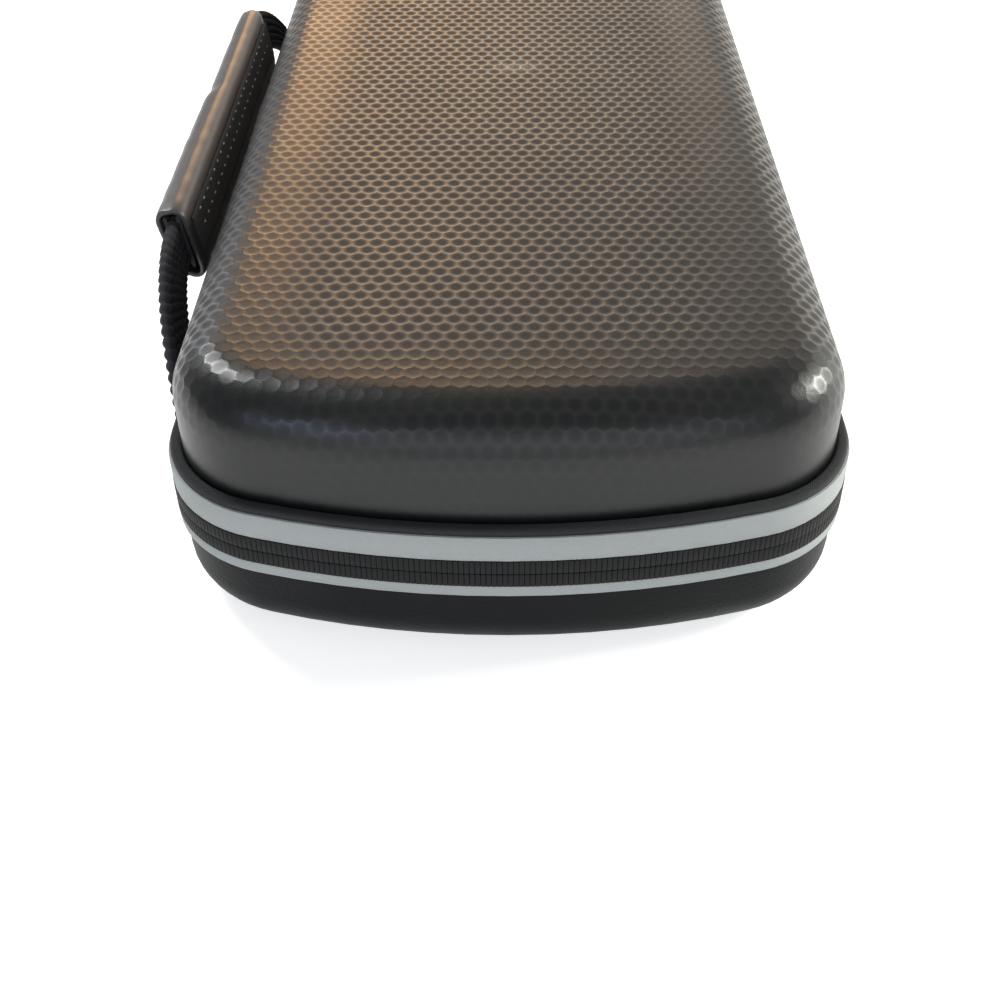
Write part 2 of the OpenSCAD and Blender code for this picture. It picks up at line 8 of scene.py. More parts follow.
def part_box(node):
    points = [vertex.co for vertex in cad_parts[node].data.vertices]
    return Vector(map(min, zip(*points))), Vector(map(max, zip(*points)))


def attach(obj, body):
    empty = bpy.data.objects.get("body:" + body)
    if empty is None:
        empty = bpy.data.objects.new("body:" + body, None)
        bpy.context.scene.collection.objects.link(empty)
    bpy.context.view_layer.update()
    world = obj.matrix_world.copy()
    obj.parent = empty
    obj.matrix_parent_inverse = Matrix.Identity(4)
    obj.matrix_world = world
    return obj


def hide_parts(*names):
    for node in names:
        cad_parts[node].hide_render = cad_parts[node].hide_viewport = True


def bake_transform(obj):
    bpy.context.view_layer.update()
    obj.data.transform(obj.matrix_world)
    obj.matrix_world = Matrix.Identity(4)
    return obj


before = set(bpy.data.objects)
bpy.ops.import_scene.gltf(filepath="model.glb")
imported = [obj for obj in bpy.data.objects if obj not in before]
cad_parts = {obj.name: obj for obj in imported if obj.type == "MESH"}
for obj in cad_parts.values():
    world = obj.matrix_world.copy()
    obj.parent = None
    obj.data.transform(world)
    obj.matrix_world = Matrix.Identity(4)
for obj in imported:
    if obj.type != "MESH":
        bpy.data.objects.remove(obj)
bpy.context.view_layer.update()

bl_info = {
    "name": "Console Carrying Case",
    "version": (1, 0, 0),
    "blender": (4, 5, 0),
    "location": "View3D > Sidebar > Case",
    "description": "Builds the visible surfaces of a zipped console case over its packed frame",
    "category": "Object",
}

MM = 0.001
# Corners closer than this are one corner
MERGE = 0.01 * MM
WHITE = (1.0, 1.0, 1.0, 1.0)
# Strength of the floor's own light, for the camera and in reflections, and of the room's light on the case
FLOOR_GLOW, ROOM_GLOW = 0.6, 0.35
# Slope on which a corner arc and an end arc meet, as in the part's source
MEET_ANGLE = math.atan2(0.96, 0.28)
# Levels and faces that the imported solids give
ZIP_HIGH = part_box("lid_zip_tape")[1]
RIM_LOW, RIM_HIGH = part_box("lid_rim")
LID_LOW, LID_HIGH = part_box("lid_shell")
BASE_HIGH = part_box("base_shell")[1]
BASE_TAPE_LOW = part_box("base_zip_tape")[0]
BASE_COIL_LOW, BASE_COIL_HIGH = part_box("base_coil")
LID_COIL_LOW, LID_COIL_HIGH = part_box("lid_coil")
CORD_LOW, CORD_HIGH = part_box("spine_cord")
# Line that the card page turns on
BEAD_X, BEAD_Z = 0.0531, 0.0214
# Steps of each arc when a profile is swept round the outline
ARC_STEPS = 12


def linear(code):
    """Linear colour of an sRGB hex code."""
    parts = [int(code[i:i + 2], 16) / 255 for i in (0, 2, 4)]
    return tuple(p / 12.92 if p <= 0.04045 else ((p + 0.055) / 1.055) ** 2.4 for p in parts) + (1.0,)


def length(name, description, default, low, high):
    """A size that a user may change, in metres."""
    return bpy.props.FloatProperty(
        name=name, description=description, default=default, min=low, max=high,
        unit="LENGTH", subtype="DISTANCE", precision=5,
    )


def tint(name, description, code):
    """A colour that a user may change."""
    return bpy.props.FloatVectorProperty(
        name=name, description=description, default=linear(code), size=4,
        min=0, max=1, subtype="COLOR",
    )


class CaseSizes(bpy.types.PropertyGroup):
    half_width: length("Half width", "Half of the width over the zip band", ZIP_HIGH.x, 0.05, 0.07)
    half_length: length("Half length", "Half of the length over the zip band", ZIP_HIGH.y, 0.12, 0.14)
    arc_run: length("Arc run", "Distance between the centres of a corner arc and its end arc", 0.130, 0.12, 0.14)
    lid_inset: length("Lid inset", "How far the lid wall stands in from the zip band", 0.0026, 0.002, 0.0032)
    lid_round: length("Lid round", "Outer radius of the lid's top edge", 0.0097, 0.008, 0.011)
    base_inset: length("Base inset", "How far the base wall stands in from the zip band", 0.001, 0.0008, 0.0014)
    base_round: length("Base round", "Outer radius of the base's bottom edge", 0.009, 0.007, 0.010)
    shell_wall: length("Shell wall", "Wall of the moulded shells", 0.003, 0.0024, 0.0034)
    cell_pitch: length("Cell pitch", "Distance between embossed cells along a row", 0.003, 0.0025, 0.0035)
    emboss_depth: length("Emboss depth", "Height of the ridges between the cells", 0.00013, 0.00008, 0.0004)
    turn_pitch: length("Coil pitch", "Distance between two turns of the zip's coil", 0.0009, 0.0008, 0.0016)
    stitch_length: length("Stitch length", "Length of one visible stitch", 0.0026, 0.002, 0.004)
    thread: length("Thread", "Radius of the sewing thread", 0.00027, 0.0002, 0.0004)
    rib_pitch: length("Webbing rib", "Distance between the ribs of the webbing", 0.002, 0.0014, 0.0026)
    net_pitch: length("Net pitch", "Size of one mesh of the net pocket", 0.0042, 0.003, 0.006)


class CaseColours(bpy.types.PropertyGroup):
    cell: tint("Cells", "Embossed cells of the lid's skin", "0d0f11")
    ridge: tint("Ridges", "Ridges between the cells", "403d3a")
    base: tint("Base", "Smooth skin of the base", "090c0e")
    tape: tint("Zip tape", "Light grey tape of the zip", "a3a7a5")
    coil: tint("Coil", "Black turns of the zip's coil", "08090b")
    cloth: tint("Cloth", "Woven black bindings, rim and spine", "1b1e21")
    webbing: tint("Webbing", "Woven handle strap", "2b2826")
    grip: tint("Grip skin", "Soft leather-like wrap of the handle", "1f1d1a")
    thread: tint("Pale thread", "Stitches on the inner face of the grip", "b9b9b2")
    dark_thread: tint("Dark thread", "Stitches on black parts", "2e3032")
    fleece: tint("Fleece", "Brushed lining", "2b2c30")
    foam: tint("Foam", "Foam inside the grip", "3a3b3d")
    metal: tint("Metal", "Blackened zip metal", "6f7073")
    rubber: tint("Pull tab", "Moulded rubber of the pull tabs", "191a1b")
    floor: tint("Floor", "Pale floor of the stage", "f4f4f3")


# Materials

def add(tree, kind, inputs=None, **settings):
    """Adds a node with its settings; each input is a value or the socket that feeds it."""
    made = tree.nodes.new(kind)
    for key, value in settings.items():
        setattr(made, key, value)
    for socket, value in (inputs or {}).items():
        if isinstance(value, bpy.types.NodeSocket):
            tree.links.new(value, made.inputs[socket])
        else:
            made.inputs[socket].default_value = value
    return made


def sums(tree, operation, *values, clamp=False):
    """Socket of a Math node."""
    return add(tree, "ShaderNodeMath", dict(enumerate(values)), operation=operation, use_clamp=clamp).outputs[0]


def vectors(tree, operation, *values):
    """Node of a Vector Math operation."""
    return add(tree, "ShaderNodeVectorMath", dict(enumerate(values)), operation=operation)


def graded(tree, value, low, high, to_low=0.0, to_high=1.0):
    """Socket that rises smoothly from to_low to to_high as value goes from low to high."""
    inputs = {"Value": value, "From Min": low, "From Max": high, "To Min": to_low, "To Max": to_high}
    return add(tree, "ShaderNodeMapRange", inputs, interpolation_type="SMOOTHSTEP").outputs[0]


def blended(tree, factor, one, other):
    """Socket of a colour between two."""
    made = add(tree, "ShaderNodeMix", {0: factor, 6: one, 7: other}, data_type="RGBA")
    return made.outputs[2]


def cloudy(tree, vector, scale, detail=3.0):
    """Socket of a soft noise between 0 and 1."""
    return add(tree, "ShaderNodeTexNoise", {"Vector": vector, "Scale": scale, "Detail": detail}).outputs[0]


def raised(tree, height, distance, normal=None):
    """Normal socket of a bump."""
    inputs = {"Height": height, "Distance": distance, "Strength": 1.0}
    if normal is not None:
        inputs["Normal"] = normal
    return add(tree, "ShaderNodeBump", inputs).outputs[0]


def surface(name, build):
    """The named material, built once: build gets the tree and gives the shader's inputs."""
    made = bpy.data.materials.get(name)
    if made is None:
        made = bpy.data.materials.new(name)
        made.use_nodes = True
        tree = made.node_tree
        tree.nodes.clear()
        shader = add(tree, "ShaderNodeBsdfPrincipled", build(tree))
        add(tree, "ShaderNodeOutputMaterial", {"Surface": shader.outputs[0]})
    return made


def object_place(tree):
    """Object coordinates in metres."""
    return add(tree, "ShaderNodeTexCoord").outputs["Object"]


def sheet_place(tree):
    """The piece's own UV map, scaled from metres to millimetres."""
    uv = add(tree, "ShaderNodeTexCoord").outputs["UV"]
    scaled = vectors(tree, "SCALE", uv)
    scaled.inputs["Scale"].default_value = 1 / MM
    return scaled.outputs[0]


def cell_distance(tree, place, pitch):
    """Distance in millimetres from the centre of the nearest cell of the embossing."""
    period = Vector((pitch, pitch * math.sqrt(3), 1.0))
    half = period / 2
    shifted = vectors(tree, "SUBTRACT", place, half).outputs[0]
    reaches = []
    for start in (place, shifted):
        wrapped = vectors(tree, "WRAP", start, half, -half).outputs[0]
        flat = vectors(tree, "MULTIPLY", wrapped, (1.0, 1.0, 0.0)).outputs[0]
        reaches.append(vectors(tree, "LENGTH", flat).outputs["Value"])
    return sums(tree, "MINIMUM", *reaches)


def lid_skin_surface(sizes, colours):
    """Heat-moulded polyurethane skin, embossed with dull dimples in a glossier network that fades down the wall."""
    def build(tree):
        place = object_place(tree)
        pitch = sizes.cell_pitch / MM
        reach = cell_distance(tree, sheet_place(tree), pitch)
        parts = add(tree, "ShaderNodeSeparateXYZ", {0: place}).outputs
        across, along = (sums(tree, "ABSOLUTE", part) for part in parts[:2])
        # Moulding stretches the skin over the edges, most at both ends, so the embossing is shallow there
        kept = graded(tree, parts[2], 36 * MM, 48 * MM, 0.14, 1.0)
        kept = sums(tree, "MULTIPLY", kept, graded(tree, along, 98 * MM, 122 * MM, 1.0, 0.3))
        # It is shallow too in a strip along both side edges of the flat top
        inner = graded(tree, across, 28 * MM, 43 * MM, 1.0, 0.55)
        outer = graded(tree, across, 47.5 * MM, 51.5 * MM, 0.55, 0.8)
        kept = sums(tree, "MULTIPLY", kept, sums(tree, "MAXIMUM", inner, outer))
        # Each cell is a dimple, and the network rises to its highest where three cells meet
        network = sums(tree, "MULTIPLY", graded(tree, reach, 0.17 * pitch, 0.62 * pitch), kept)
        patch = cloudy(tree, place, 35.0)
        scratch = cloudy(tree, vectors(tree, "MULTIPLY", place, (1.0, 0.25, 1.0)).outputs[0], 900.0, 2.0)
        # A pale rub on the top, 9 mm by 4 mm
        rub = vectors(tree, "SUBTRACT", place, (0.002, 0.008, 0.049)).outputs[0]
        rub = vectors(tree, "LENGTH", vectors(tree, "MULTIPLY", rub, (1.0, 2.0, 1.0)).outputs[0]).outputs["Value"]
        rub = sums(tree, "MULTIPLY", graded(tree, rub, 0.009, 0.001), graded(tree, scratch, 0.35, 0.6))
        tone = blended(tree, network, colours.cell, colours.ridge)
        tone = blended(tree, sums(tree, "MULTIPLY", rub, 0.35), tone, linear("8d8880"))
        rough = graded(tree, kept, 0.14, 1.0, 0.34, 0.68)
        rough = sums(tree, "SUBTRACT", rough, sums(tree, "MULTIPLY", network, 0.44))
        rough = sums(tree, "ADD", rough, graded(tree, patch, 0.3, 0.7, -0.02, 0.03))
        grain = raised(tree, cloudy(tree, place, 2600.0, 2.0), 0.00002)
        normal = raised(tree, network, sizes.emboss_depth, grain)
        return {"Base Color": tone, "Roughness": rough, "Normal": normal, "IOR": 1.5,
                "Specular IOR Level": 0.4}
    return surface("lid_skin", build)


def smooth_skin_surface(colours):
    """Smooth matt skin of the base: a very fine pebble grain."""
    def build(tree):
        place = object_place(tree)
        pebble = add(tree, "ShaderNodeTexVoronoi", {"Vector": place, "Scale": 1500.0}).outputs["Distance"]
        patch = cloudy(tree, place, 30.0)
        tone = blended(tree, graded(tree, patch, 0.3, 0.7), colours.base, linear("07090b"))
        rough = graded(tree, patch, 0.3, 0.7, 0.46, 0.54)
        return {"Base Color": tone, "Roughness": rough, "Normal": raised(tree, pebble, 0.00004), "IOR": 1.5,
                "Specular IOR Level": 0.14}
    return surface("base_skin", build)


def woven_surface(name, colour, other, pitch, depth, rough, sheen):
    """Plain-woven cloth, its threads along the piece's UV map."""
    def build(tree):
        place = sheet_place(tree)
        parts = add(tree, "ShaderNodeSeparateXYZ", {0: place})
        turns = [sums(tree, "SINE", sums(tree, "MULTIPLY", parts.outputs[i], 2 * math.pi / pitch[i])) for i in (0, 1)]
        over = sums(tree, "MULTIPLY", turns[0], turns[1])
        fuzz = cloudy(tree, object_place(tree), 1400.0)
        height = sums(tree, "ADD", over, sums(tree, "MULTIPLY", fuzz, 0.8))
        tone = blended(tree, graded(tree, over, -1.0, 1.0), other, colour)
        worn = graded(tree, cloudy(tree, object_place(tree), 45.0), 0.35, 0.7, 0.0, 0.25)
        tone = blended(tree, worn, tone, other)
        return {"Base Color": tone, "Roughness": rough, "Normal": raised(tree, height, depth),
                "Sheen Weight": sheen, "Sheen Roughness": 0.5}
    return surface(name, build)


def tape_surface(colours):
    """Light grey zip tape: a smooth, tight weave of 0.5 mm threads."""
    return woven_surface("zip_tape", colours.tape, linear("a0a5a6"), (0.5, 0.4), 0.00002, 0.6, 0.05)


def cloth_surface(colours):
    """Black grosgrain of the bindings, rim and spine."""
    return woven_surface("black_cloth", colours.cloth, linear("16191b"), (0.6, 0.45), 0.00005, 0.8, 0.05)


def webbing_surface(colours):
    """Coarse polyester webbing: its loops are modelled, and the threads are in the bump."""
    return woven_surface("webbing", colours.webbing, linear("0b0b0b"), (0.5, 0.4), 0.00008, 0.7, 0.1)


def fleece_surface(colours):
    """Brushed fleece with a short soft pile."""
    def build(tree):
        place = object_place(tree)
        pile = cloudy(tree, place, 1800.0, 4.0)
        swirl = cloudy(tree, place, 120.0)
        tone = blended(tree, graded(tree, pile, 0.3, 0.7), linear("1e1f22"), colours.fleece)
        tone = blended(tree, graded(tree, swirl, 0.35, 0.65, 0.0, 0.3), tone, linear("36373b"))
        return {"Base Color": tone, "Roughness": 0.95, "Normal": raised(tree, pile, 0.0003),
                "Sheen Weight": 0.35, "Sheen Roughness": 0.6}
    return surface("fleece", build)


def coil_surface(colours):
    """Polyester monofilament of the coil: dull, with fine drawn lines."""
    def build(tree):
        place = object_place(tree)
        lines = cloudy(tree, vectors(tree, "MULTIPLY", place, (1.0, 1.0, 6.0)).outputs[0], 900.0)
        tone = blended(tree, graded(tree, lines, 0.3, 0.7), colours.coil, linear("0d0e10"))
        return {"Base Color": tone, "Roughness": 0.6, "Normal": raised(tree, lines, 0.00003), "IOR": 1.5,
                "Specular IOR Level": 0.25}
    return surface("coil_filament", build)


def grip_surface(colours):
    """Soft leather-like wrap: fine grain, creases that shine a little more."""
    def build(tree):
        place = object_place(tree)
        grain = add(tree, "ShaderNodeTexVoronoi", {"Vector": place, "Scale": 1100.0}).outputs["Distance"]
        crease = cloudy(tree, vectors(tree, "MULTIPLY", place, (1.0, 0.5, 1.0)).outputs[0], 260.0)
        tone = blended(tree, graded(tree, crease, 0.35, 0.7), colours.grip, linear("141312"))
        rough = graded(tree, crease, 0.3, 0.7, 0.68, 0.78)
        normal = raised(tree, crease, 0.0004, raised(tree, grain, 0.00008))
        return {"Base Color": tone, "Roughness": rough, "Normal": normal, "IOR": 1.5, "Specular IOR Level": 0.4}
    return surface("grip_skin", build)


def thread_surface(name, colour):
    """Twisted sewing thread."""
    def build(tree):
        twist = cloudy(tree, object_place(tree), 2500.0, 1.0)
        tone = blended(tree, graded(tree, twist, 0.3, 0.7, 0.0, 0.4), colour, linear("101010"))
        return {"Base Color": tone, "Roughness": 0.6, "Normal": raised(tree, twist, 0.00005), "Sheen Weight": 0.1}
    return surface(name, build)


def foam_surface(colours):
    """Open foam with small pores, whose hollows carry painted shade."""
    def build(tree):
        pores = add(tree, "ShaderNodeTexVoronoi", {"Vector": object_place(tree), "Scale": 1600.0}).outputs["Distance"]
        # The pores' hollows are painted darker than the foam round them: painted shade.
        tone = blended(tree, graded(tree, pores, 0.1, 0.5), linear("242526"), colours.foam)
        return {"Base Color": tone, "Roughness": 0.9, "Normal": raised(tree, pores, 0.0002)}
    return surface("grip_core", build)


def metal_surface(colours):
    """Blackened zinc of the sliders, rubbed bright in places."""
    def build(tree):
        place = object_place(tree)
        rubbed = graded(tree, cloudy(tree, place, 500.0), 0.55, 0.75)
        tone = blended(tree, rubbed, colours.metal, linear("a3a4a6"))
        rough = graded(tree, cloudy(tree, place, 900.0), 0.3, 0.7, 0.28, 0.42)
        return {"Base Color": tone, "Metallic": 1.0, "Roughness": rough,
                "Normal": raised(tree, cloudy(tree, place, 1500.0), 0.00002)}
    return surface("zip_metal", build)


def rubber_surface(colours):
    """Moulded rubber of the pull tabs, finely sandblasted."""
    def build(tree):
        place = object_place(tree)
        sand = cloudy(tree, place, 3500.0, 1.0)
        worn = graded(tree, cloudy(tree, place, 300.0), 0.4, 0.7, 0.0, 0.4)
        tone = blended(tree, worn, colours.rubber, linear("26272a"))
        return {"Base Color": tone, "Roughness": 0.6, "Normal": raised(tree, sand, 0.00005)}
    return surface("pull_rubber", build)


def floor_surface(colours):
    """Pale studio floor that shows white where it is fully lit and keeps the object's shadow."""
    made = bpy.data.materials.new("studio_floor")
    made.use_nodes = True
    tree = made.node_tree
    tree.nodes.clear()
    rays = add(tree, "ShaderNodeLightPath")
    seen = sums(tree, "MAXIMUM", rays.outputs["Is Camera Ray"], rays.outputs["Is Glossy Ray"])
    seen = sums(tree, "MAXIMUM", seen, rays.outputs["Is Transmission Ray"])
    paper = add(tree, "ShaderNodeBsdfDiffuse", {"Color": colours.floor})
    glow = add(tree, "ShaderNodeEmission", {"Color": WHITE, "Strength": sums(tree, "MULTIPLY", seen, FLOOR_GLOW)})
    both = add(tree, "ShaderNodeAddShader", {0: paper.outputs[0], 1: glow.outputs[0]})
    add(tree, "ShaderNodeOutputMaterial", {"Surface": both.outputs[0]})
    return made


# Modelling by hand: a primitive, edit-mode tools, then a finished object at the origin

def begin(tool, name, **settings):
    """Adds a primitive with everything else deselected, named and in edit mode with all of it selected."""
    if bpy.context.object and bpy.context.object.mode != "OBJECT":
        bpy.ops.object.mode_set(mode="OBJECT")
    bpy.ops.object.select_all(action="DESELECT")
    tool(**settings)
    made = bpy.context.object
    made.name = name
    made.data.name = name
    bpy.ops.object.mode_set(mode="EDIT")
    bpy.ops.mesh.select_mode(type="VERT")
    bpy.ops.mesh.select_all(action="SELECT")
    return made


def soft_box(name, low, high, edge, segments=3):
    """A box between two corners with its edges rounded, left in edit mode."""
    made = begin(bpy.ops.mesh.primitive_cube_add, name, size=1, location=(low + high) / 2)
    bpy.ops.transform.resize(value=tuple(high - low))
    bpy.ops.mesh.select_mode(type="EDGE")
    bpy.ops.mesh.bevel(offset=edge, segments=segments, affect="EDGES")
    return made


def finish_piece(made, angle=35.0):
    """Leaves edit mode with doubles merged and faces outward, places the object at the origin and smooths it."""
    bpy.ops.object.mode_set(mode="EDIT")
    bpy.ops.mesh.select_all(action="SELECT")
    bpy.ops.mesh.remove_doubles(threshold=MERGE)
    bpy.ops.mesh.normals_make_consistent(inside=False)
    bpy.ops.object.mode_set(mode="OBJECT")
    bpy.ops.object.transform_apply(location=True, rotation=True, scale=True)
    bpy.ops.object.shade_smooth_by_angle(angle=math.radians(angle))
    return made


def capped(made, angle):
    """Closes the open ends of a piece and finishes it."""
    bpy.ops.object.mode_set(mode="EDIT")
    bpy.ops.mesh.select_all(action="SELECT")
    bpy.ops.mesh.fill_holes(sides=0)
    return finish_piece(made, angle)


def pick(made, test, kind="VERT"):
    """Selects the vertices, edges or faces whose middle passes the test."""
    bpy.ops.object.mode_set(mode="OBJECT")
    mesh = made.data
    for part in (mesh.vertices, mesh.edges, mesh.polygons):
        part.foreach_set("select", [False] * len(part))
    if kind == "VERT":
        for v in mesh.vertices:
            v.select = test(v.co)
    elif kind == "EDGE":
        for e in mesh.edges:
            a, b = (mesh.vertices[i].co for i in e.vertices)
            e.select = test(a, b)
    else:
        for f in mesh.polygons:
            f.select = test(f)
    bpy.ops.object.mode_set(mode="EDIT")
    bpy.ops.mesh.select_mode(type=kind)


def push(offset):
    """Extrudes what is selected by an offset."""
    bpy.ops.mesh.extrude_region_move(TRANSFORM_OT_translate={"value": offset})


def draw(name, points, closed=True):
    """A line of edges drawn from one point to the next, left selected in edit mode."""
    made = begin(bpy.ops.mesh.primitive_plane_add, name, size=MM, location=points[0])
    bpy.ops.mesh.merge(type="CENTER")
    for a, b in zip(points, points[1:]):
        bpy.ops.mesh.extrude_vertices_move(TRANSFORM_OT_translate={"value": Vector(b) - Vector(a)})
    bpy.ops.mesh.select_all(action="SELECT")
    if closed:
        ends = (Vector(), Vector(points[-1]) - Vector(points[0]))
        pick(made, lambda co: min((co - e).length for e in ends) < 0.02 * MM)
        bpy.ops.mesh.edge_face_add()
        bpy.ops.mesh.select_all(action="SELECT")
    return made


class Plan:
    """Outline of the zip band, seen from above: four corner arcs, two shallow end arcs and two straight sides."""

    def __init__(self, sizes):
        self.half_w, self.half_l = sizes.half_width, sizes.half_length
        self.corner_x = math.cos(MEET_ANGLE) * sizes.arc_run
        self.corner_r = self.half_w - self.corner_x
        self.end_r = self.corner_r + sizes.arc_run
        self.end_y = self.half_l - self.end_r
        self.corner_y = self.end_y + math.sin(MEET_ANGLE) * sizes.arc_run
        self.corner_run = self.corner_r * MEET_ANGLE
        self.end_run = self.end_r * (math.pi - 2 * MEET_ANGLE)
        self.quarter = self.corner_y + self.corner_run + self.end_run / 2
        self.total = 4 * self.quarter

    def foot(self, x, y):
        """(distance along the outline from the middle of the spine side, offset outward, normal) of a point in plan."""
        ax, ay = abs(x), abs(y)
        if ay <= self.corner_y:
            run, offset, normal = ay, ax - self.half_w, (1.0, 0.0)
        else:
            dx, dy = ax - self.corner_x, ay - self.corner_y
            angle = math.atan2(dy, dx)
            if angle <= MEET_ANGLE:
                reach = math.hypot(dx, dy)
                run, offset = self.corner_y + self.corner_r * angle, reach - self.corner_r
                normal = (dx / reach, dy / reach)
            else:
                dy = ay - self.end_y
                reach, angle = math.hypot(ax, dy), math.atan2(dy, ax)
                run = self.corner_y + self.corner_run + self.end_r * (angle - MEET_ANGLE)
                offset, normal = reach - self.end_r, (ax / reach, dy / reach)
        if x < 0:
            run = 2 * self.quarter - run
        if y < 0:
            run = self.total - run
        return run, offset, Vector((math.copysign(normal[0], x), math.copysign(normal[1], y)))

    def spot(self, run):
        """(point, outward normal) on the outline at a distance from the middle of the spine side."""
        run %= self.total
        sign_y = 1 if run <= 2 * self.quarter else -1
        half = run if sign_y > 0 else self.total - run
        sign_x = 1 if half <= self.quarter else -1
        part = half if sign_x > 0 else 2 * self.quarter - half
        if part <= self.corner_y:
            point, normal = (self.half_w, part), (1.0, 0.0)
        elif part <= self.corner_y + self.corner_run:
            angle = (part - self.corner_y) / self.corner_r
            normal = (math.cos(angle), math.sin(angle))
            point = (self.corner_x + self.corner_r * normal[0], self.corner_y + self.corner_r * normal[1])
        else:
            angle = MEET_ANGLE + (part - self.corner_y - self.corner_run) / self.end_r
            normal = (math.cos(angle), math.sin(angle))
            point = (self.end_r * normal[0], self.end_y + self.end_r * normal[1])
        return (Vector((sign_x * point[0], sign_y * point[1], 0)),
                Vector((sign_x * normal[0], sign_y * normal[1], 0)))

    def travel(self, gap=0.0):
        """Sweeps what is selected round the outline, from the spine side over the far end, starting at y = gap."""
        def turn(x, y, angle):
            bpy.ops.mesh.spin(steps=ARC_STEPS, angle=-angle, center=(x, y, 0), axis=(0, 0, 1))

        end_angle = math.pi - 2 * MEET_ANGLE
        push((0, self.corner_y - gap, 0))
        turn(self.corner_x, self.corner_y, MEET_ANGLE)
        turn(0, self.end_y, end_angle)
        turn(-self.corner_x, self.corner_y, MEET_ANGLE)
        push((0, -2 * self.corner_y, 0))
        turn(-self.corner_x, -self.corner_y, MEET_ANGLE)
        turn(0, -self.end_y, end_angle)
        turn(self.corner_x, -self.corner_y, MEET_ANGLE)
        push((0, self.corner_y - gap, 0))


def swept(plan, name, profile, gap=0.0, closed=True):
    """A profile of (offset, height) points in millimetres, swept round the case and closed at its open ends."""
    points = [(plan.half_w + o * MM, gap, z * MM) for o, z in profile]
    made = draw(name, points, closed)
    plan.travel(gap)
    bpy.ops.mesh.select_all(action="SELECT")
    bpy.ops.mesh.remove_doubles(threshold=MERGE)
    if gap or not closed:
        bpy.ops.mesh.select_all(action="SELECT")
        bpy.ops.mesh.fill_holes(sides=0)
    return finish_piece(made)


def arc(centre, radius, start, end, steps):
    """Points of an arc in a profile, angles in degrees from the outward direction."""
    turns = [math.radians(start + (end - start) * i / steps) for i in range(steps + 1)]
    return [(centre[0] + radius * math.cos(t), centre[1] + radius * math.sin(t)) for t in turns]


def rounded_band(inner, outer, low, high, r):
    """Profile of an upright band with four rounded edges."""
    return (arc((outer - r, low + r), r, -90, 0, 3) + arc((outer - r, high - r), r, 0, 90, 3)
            + arc((inner + r, high - r), r, 90, 180, 3) + arc((inner + r, low + r), r, 180, 270, 3))


def cup(out, r, floor, up, wall, lip, steps=6):
    """Profile of an open shell in millimetres: its outer face, rounded edge and wall, its lip, and its inner face."""
    centre, flat = (out - r, floor + up * r), out - r - 1
    outer = arc(centre, r, -90 * up, 0, steps)
    inner = arc(centre, r - wall, 0, -90 * up, 6)
    return [(flat, floor)] + outer + lip + inner + [(flat, floor + up * wall)]


def lay_uv(made, place, period=None):
    """Gives the piece a UV map in metres from the place of each corner; a period mends the faces on the map's seam."""
    mesh = made.data
    while mesh.uv_layers:
        mesh.uv_layers.remove(mesh.uv_layers[0])
    layer = mesh.uv_layers.new(name="cloth")
    spots = [place(v.co) for v in mesh.vertices]
    for face in mesh.polygons:
        found = [list(spots[mesh.loops[i].vertex_index]) for i in face.loop_indices]
        if period and max(p[0] for p in found) - min(p[0] for p in found) > period / 2:
            for p in found:
                if p[0] < period / 2:
                    p[0] += period
        for i, p in zip(face.loop_indices, found):
            layer.data[i].uv = p


def lay_band(made, plan):
    """UV map of a band: along the outline, and across it."""
    def place(co):
        run, offset, _ = plan.foot(co.x, co.y)
        return run, co.z - offset
    lay_uv(made, place, plan.total)


def dress(made, material, body, slot, *nodes):
    """Gives a finished piece its material and its body, and hides the CAD nodes it stands for; the slot is not used."""
    made.data.materials.clear()
    made.data.materials.append(material)
    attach(made, body)
    if nodes:
        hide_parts(*nodes)
    return made


def repaint(node, material):
    """Gives a CAD node that stays its material."""
    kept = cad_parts[node]
    if not kept.material_slots:
        kept.data.materials.append(material)
    for held in kept.material_slots:
        held.material = material


def stamped(name, model, places):
    """Copies of one small model, each with its own mesh, joined into one piece. The model is removed."""
    bpy.ops.object.mode_set(mode="OBJECT")
    bpy.ops.object.select_all(action="DESELECT")
    copies = []
    for matrix in places:
        copy = model.copy()
        copy.data = model.data.copy()
        copy.data.transform(matrix)
        bpy.context.scene.collection.objects.link(copy)
        copy.select_set(True)
        copies.append(copy)
    bpy.context.view_layer.objects.active = copies[0]
    bpy.ops.object.join()
    made = bpy.context.object
    made.name = name
    bpy.data.objects.remove(model)
    return made


def joined(name, *parts):
    """Several finished pieces as one."""
    bpy.ops.object.select_all(action="DESELECT")
    for part in parts:
        part.select_set(True)
    bpy.context.view_layer.objects.active = parts[0]
    bpy.ops.object.join()
    parts[0].name = name
    return parts[0]


def turned(point, along, outward):
    """Matrix that puts a model at a point, its X along a line and its Z outward."""
    x = Vector(along).normalized()
    z = Vector(outward).normalized()
    y = z.cross(x)
    return Matrix.Translation(point) @ Matrix((x, y, z)).transposed().to_4x4()


def stitch_model(sizes):
    """One stitch along X: a thread that dives into the cloth at both ends."""
    made = begin(bpy.ops.mesh.primitive_uv_sphere_add, "stitch", segments=6, ring_count=5, radius=1,
                 rotation=(0, math.pi / 2, 0))
    bpy.ops.transform.resize(value=(sizes.stitch_length / 2, sizes.thread, sizes.thread))
    return finish_piece(made, 60)


def sewn_line(name, sizes, start, end, outward, gap_share=0.35, seen=1.0):
    """A row of stitches from one point to another on a surface, of which a share of each stitch is seen."""
    start, end = Vector(start), Vector(end)
    line = end - start
    pitch = sizes.stitch_length * (1 + gap_share)
    count = max(1, round(line.length / pitch))
    shrink = Matrix.Diagonal((seen, 0.5 + seen / 2, 0.5 + seen / 2, 1))
    places = [turned(start + line * (i + 0.5) / count, line, outward) @ shrink for i in range(count)]
    return stamped(name, stitch_model(sizes), places)


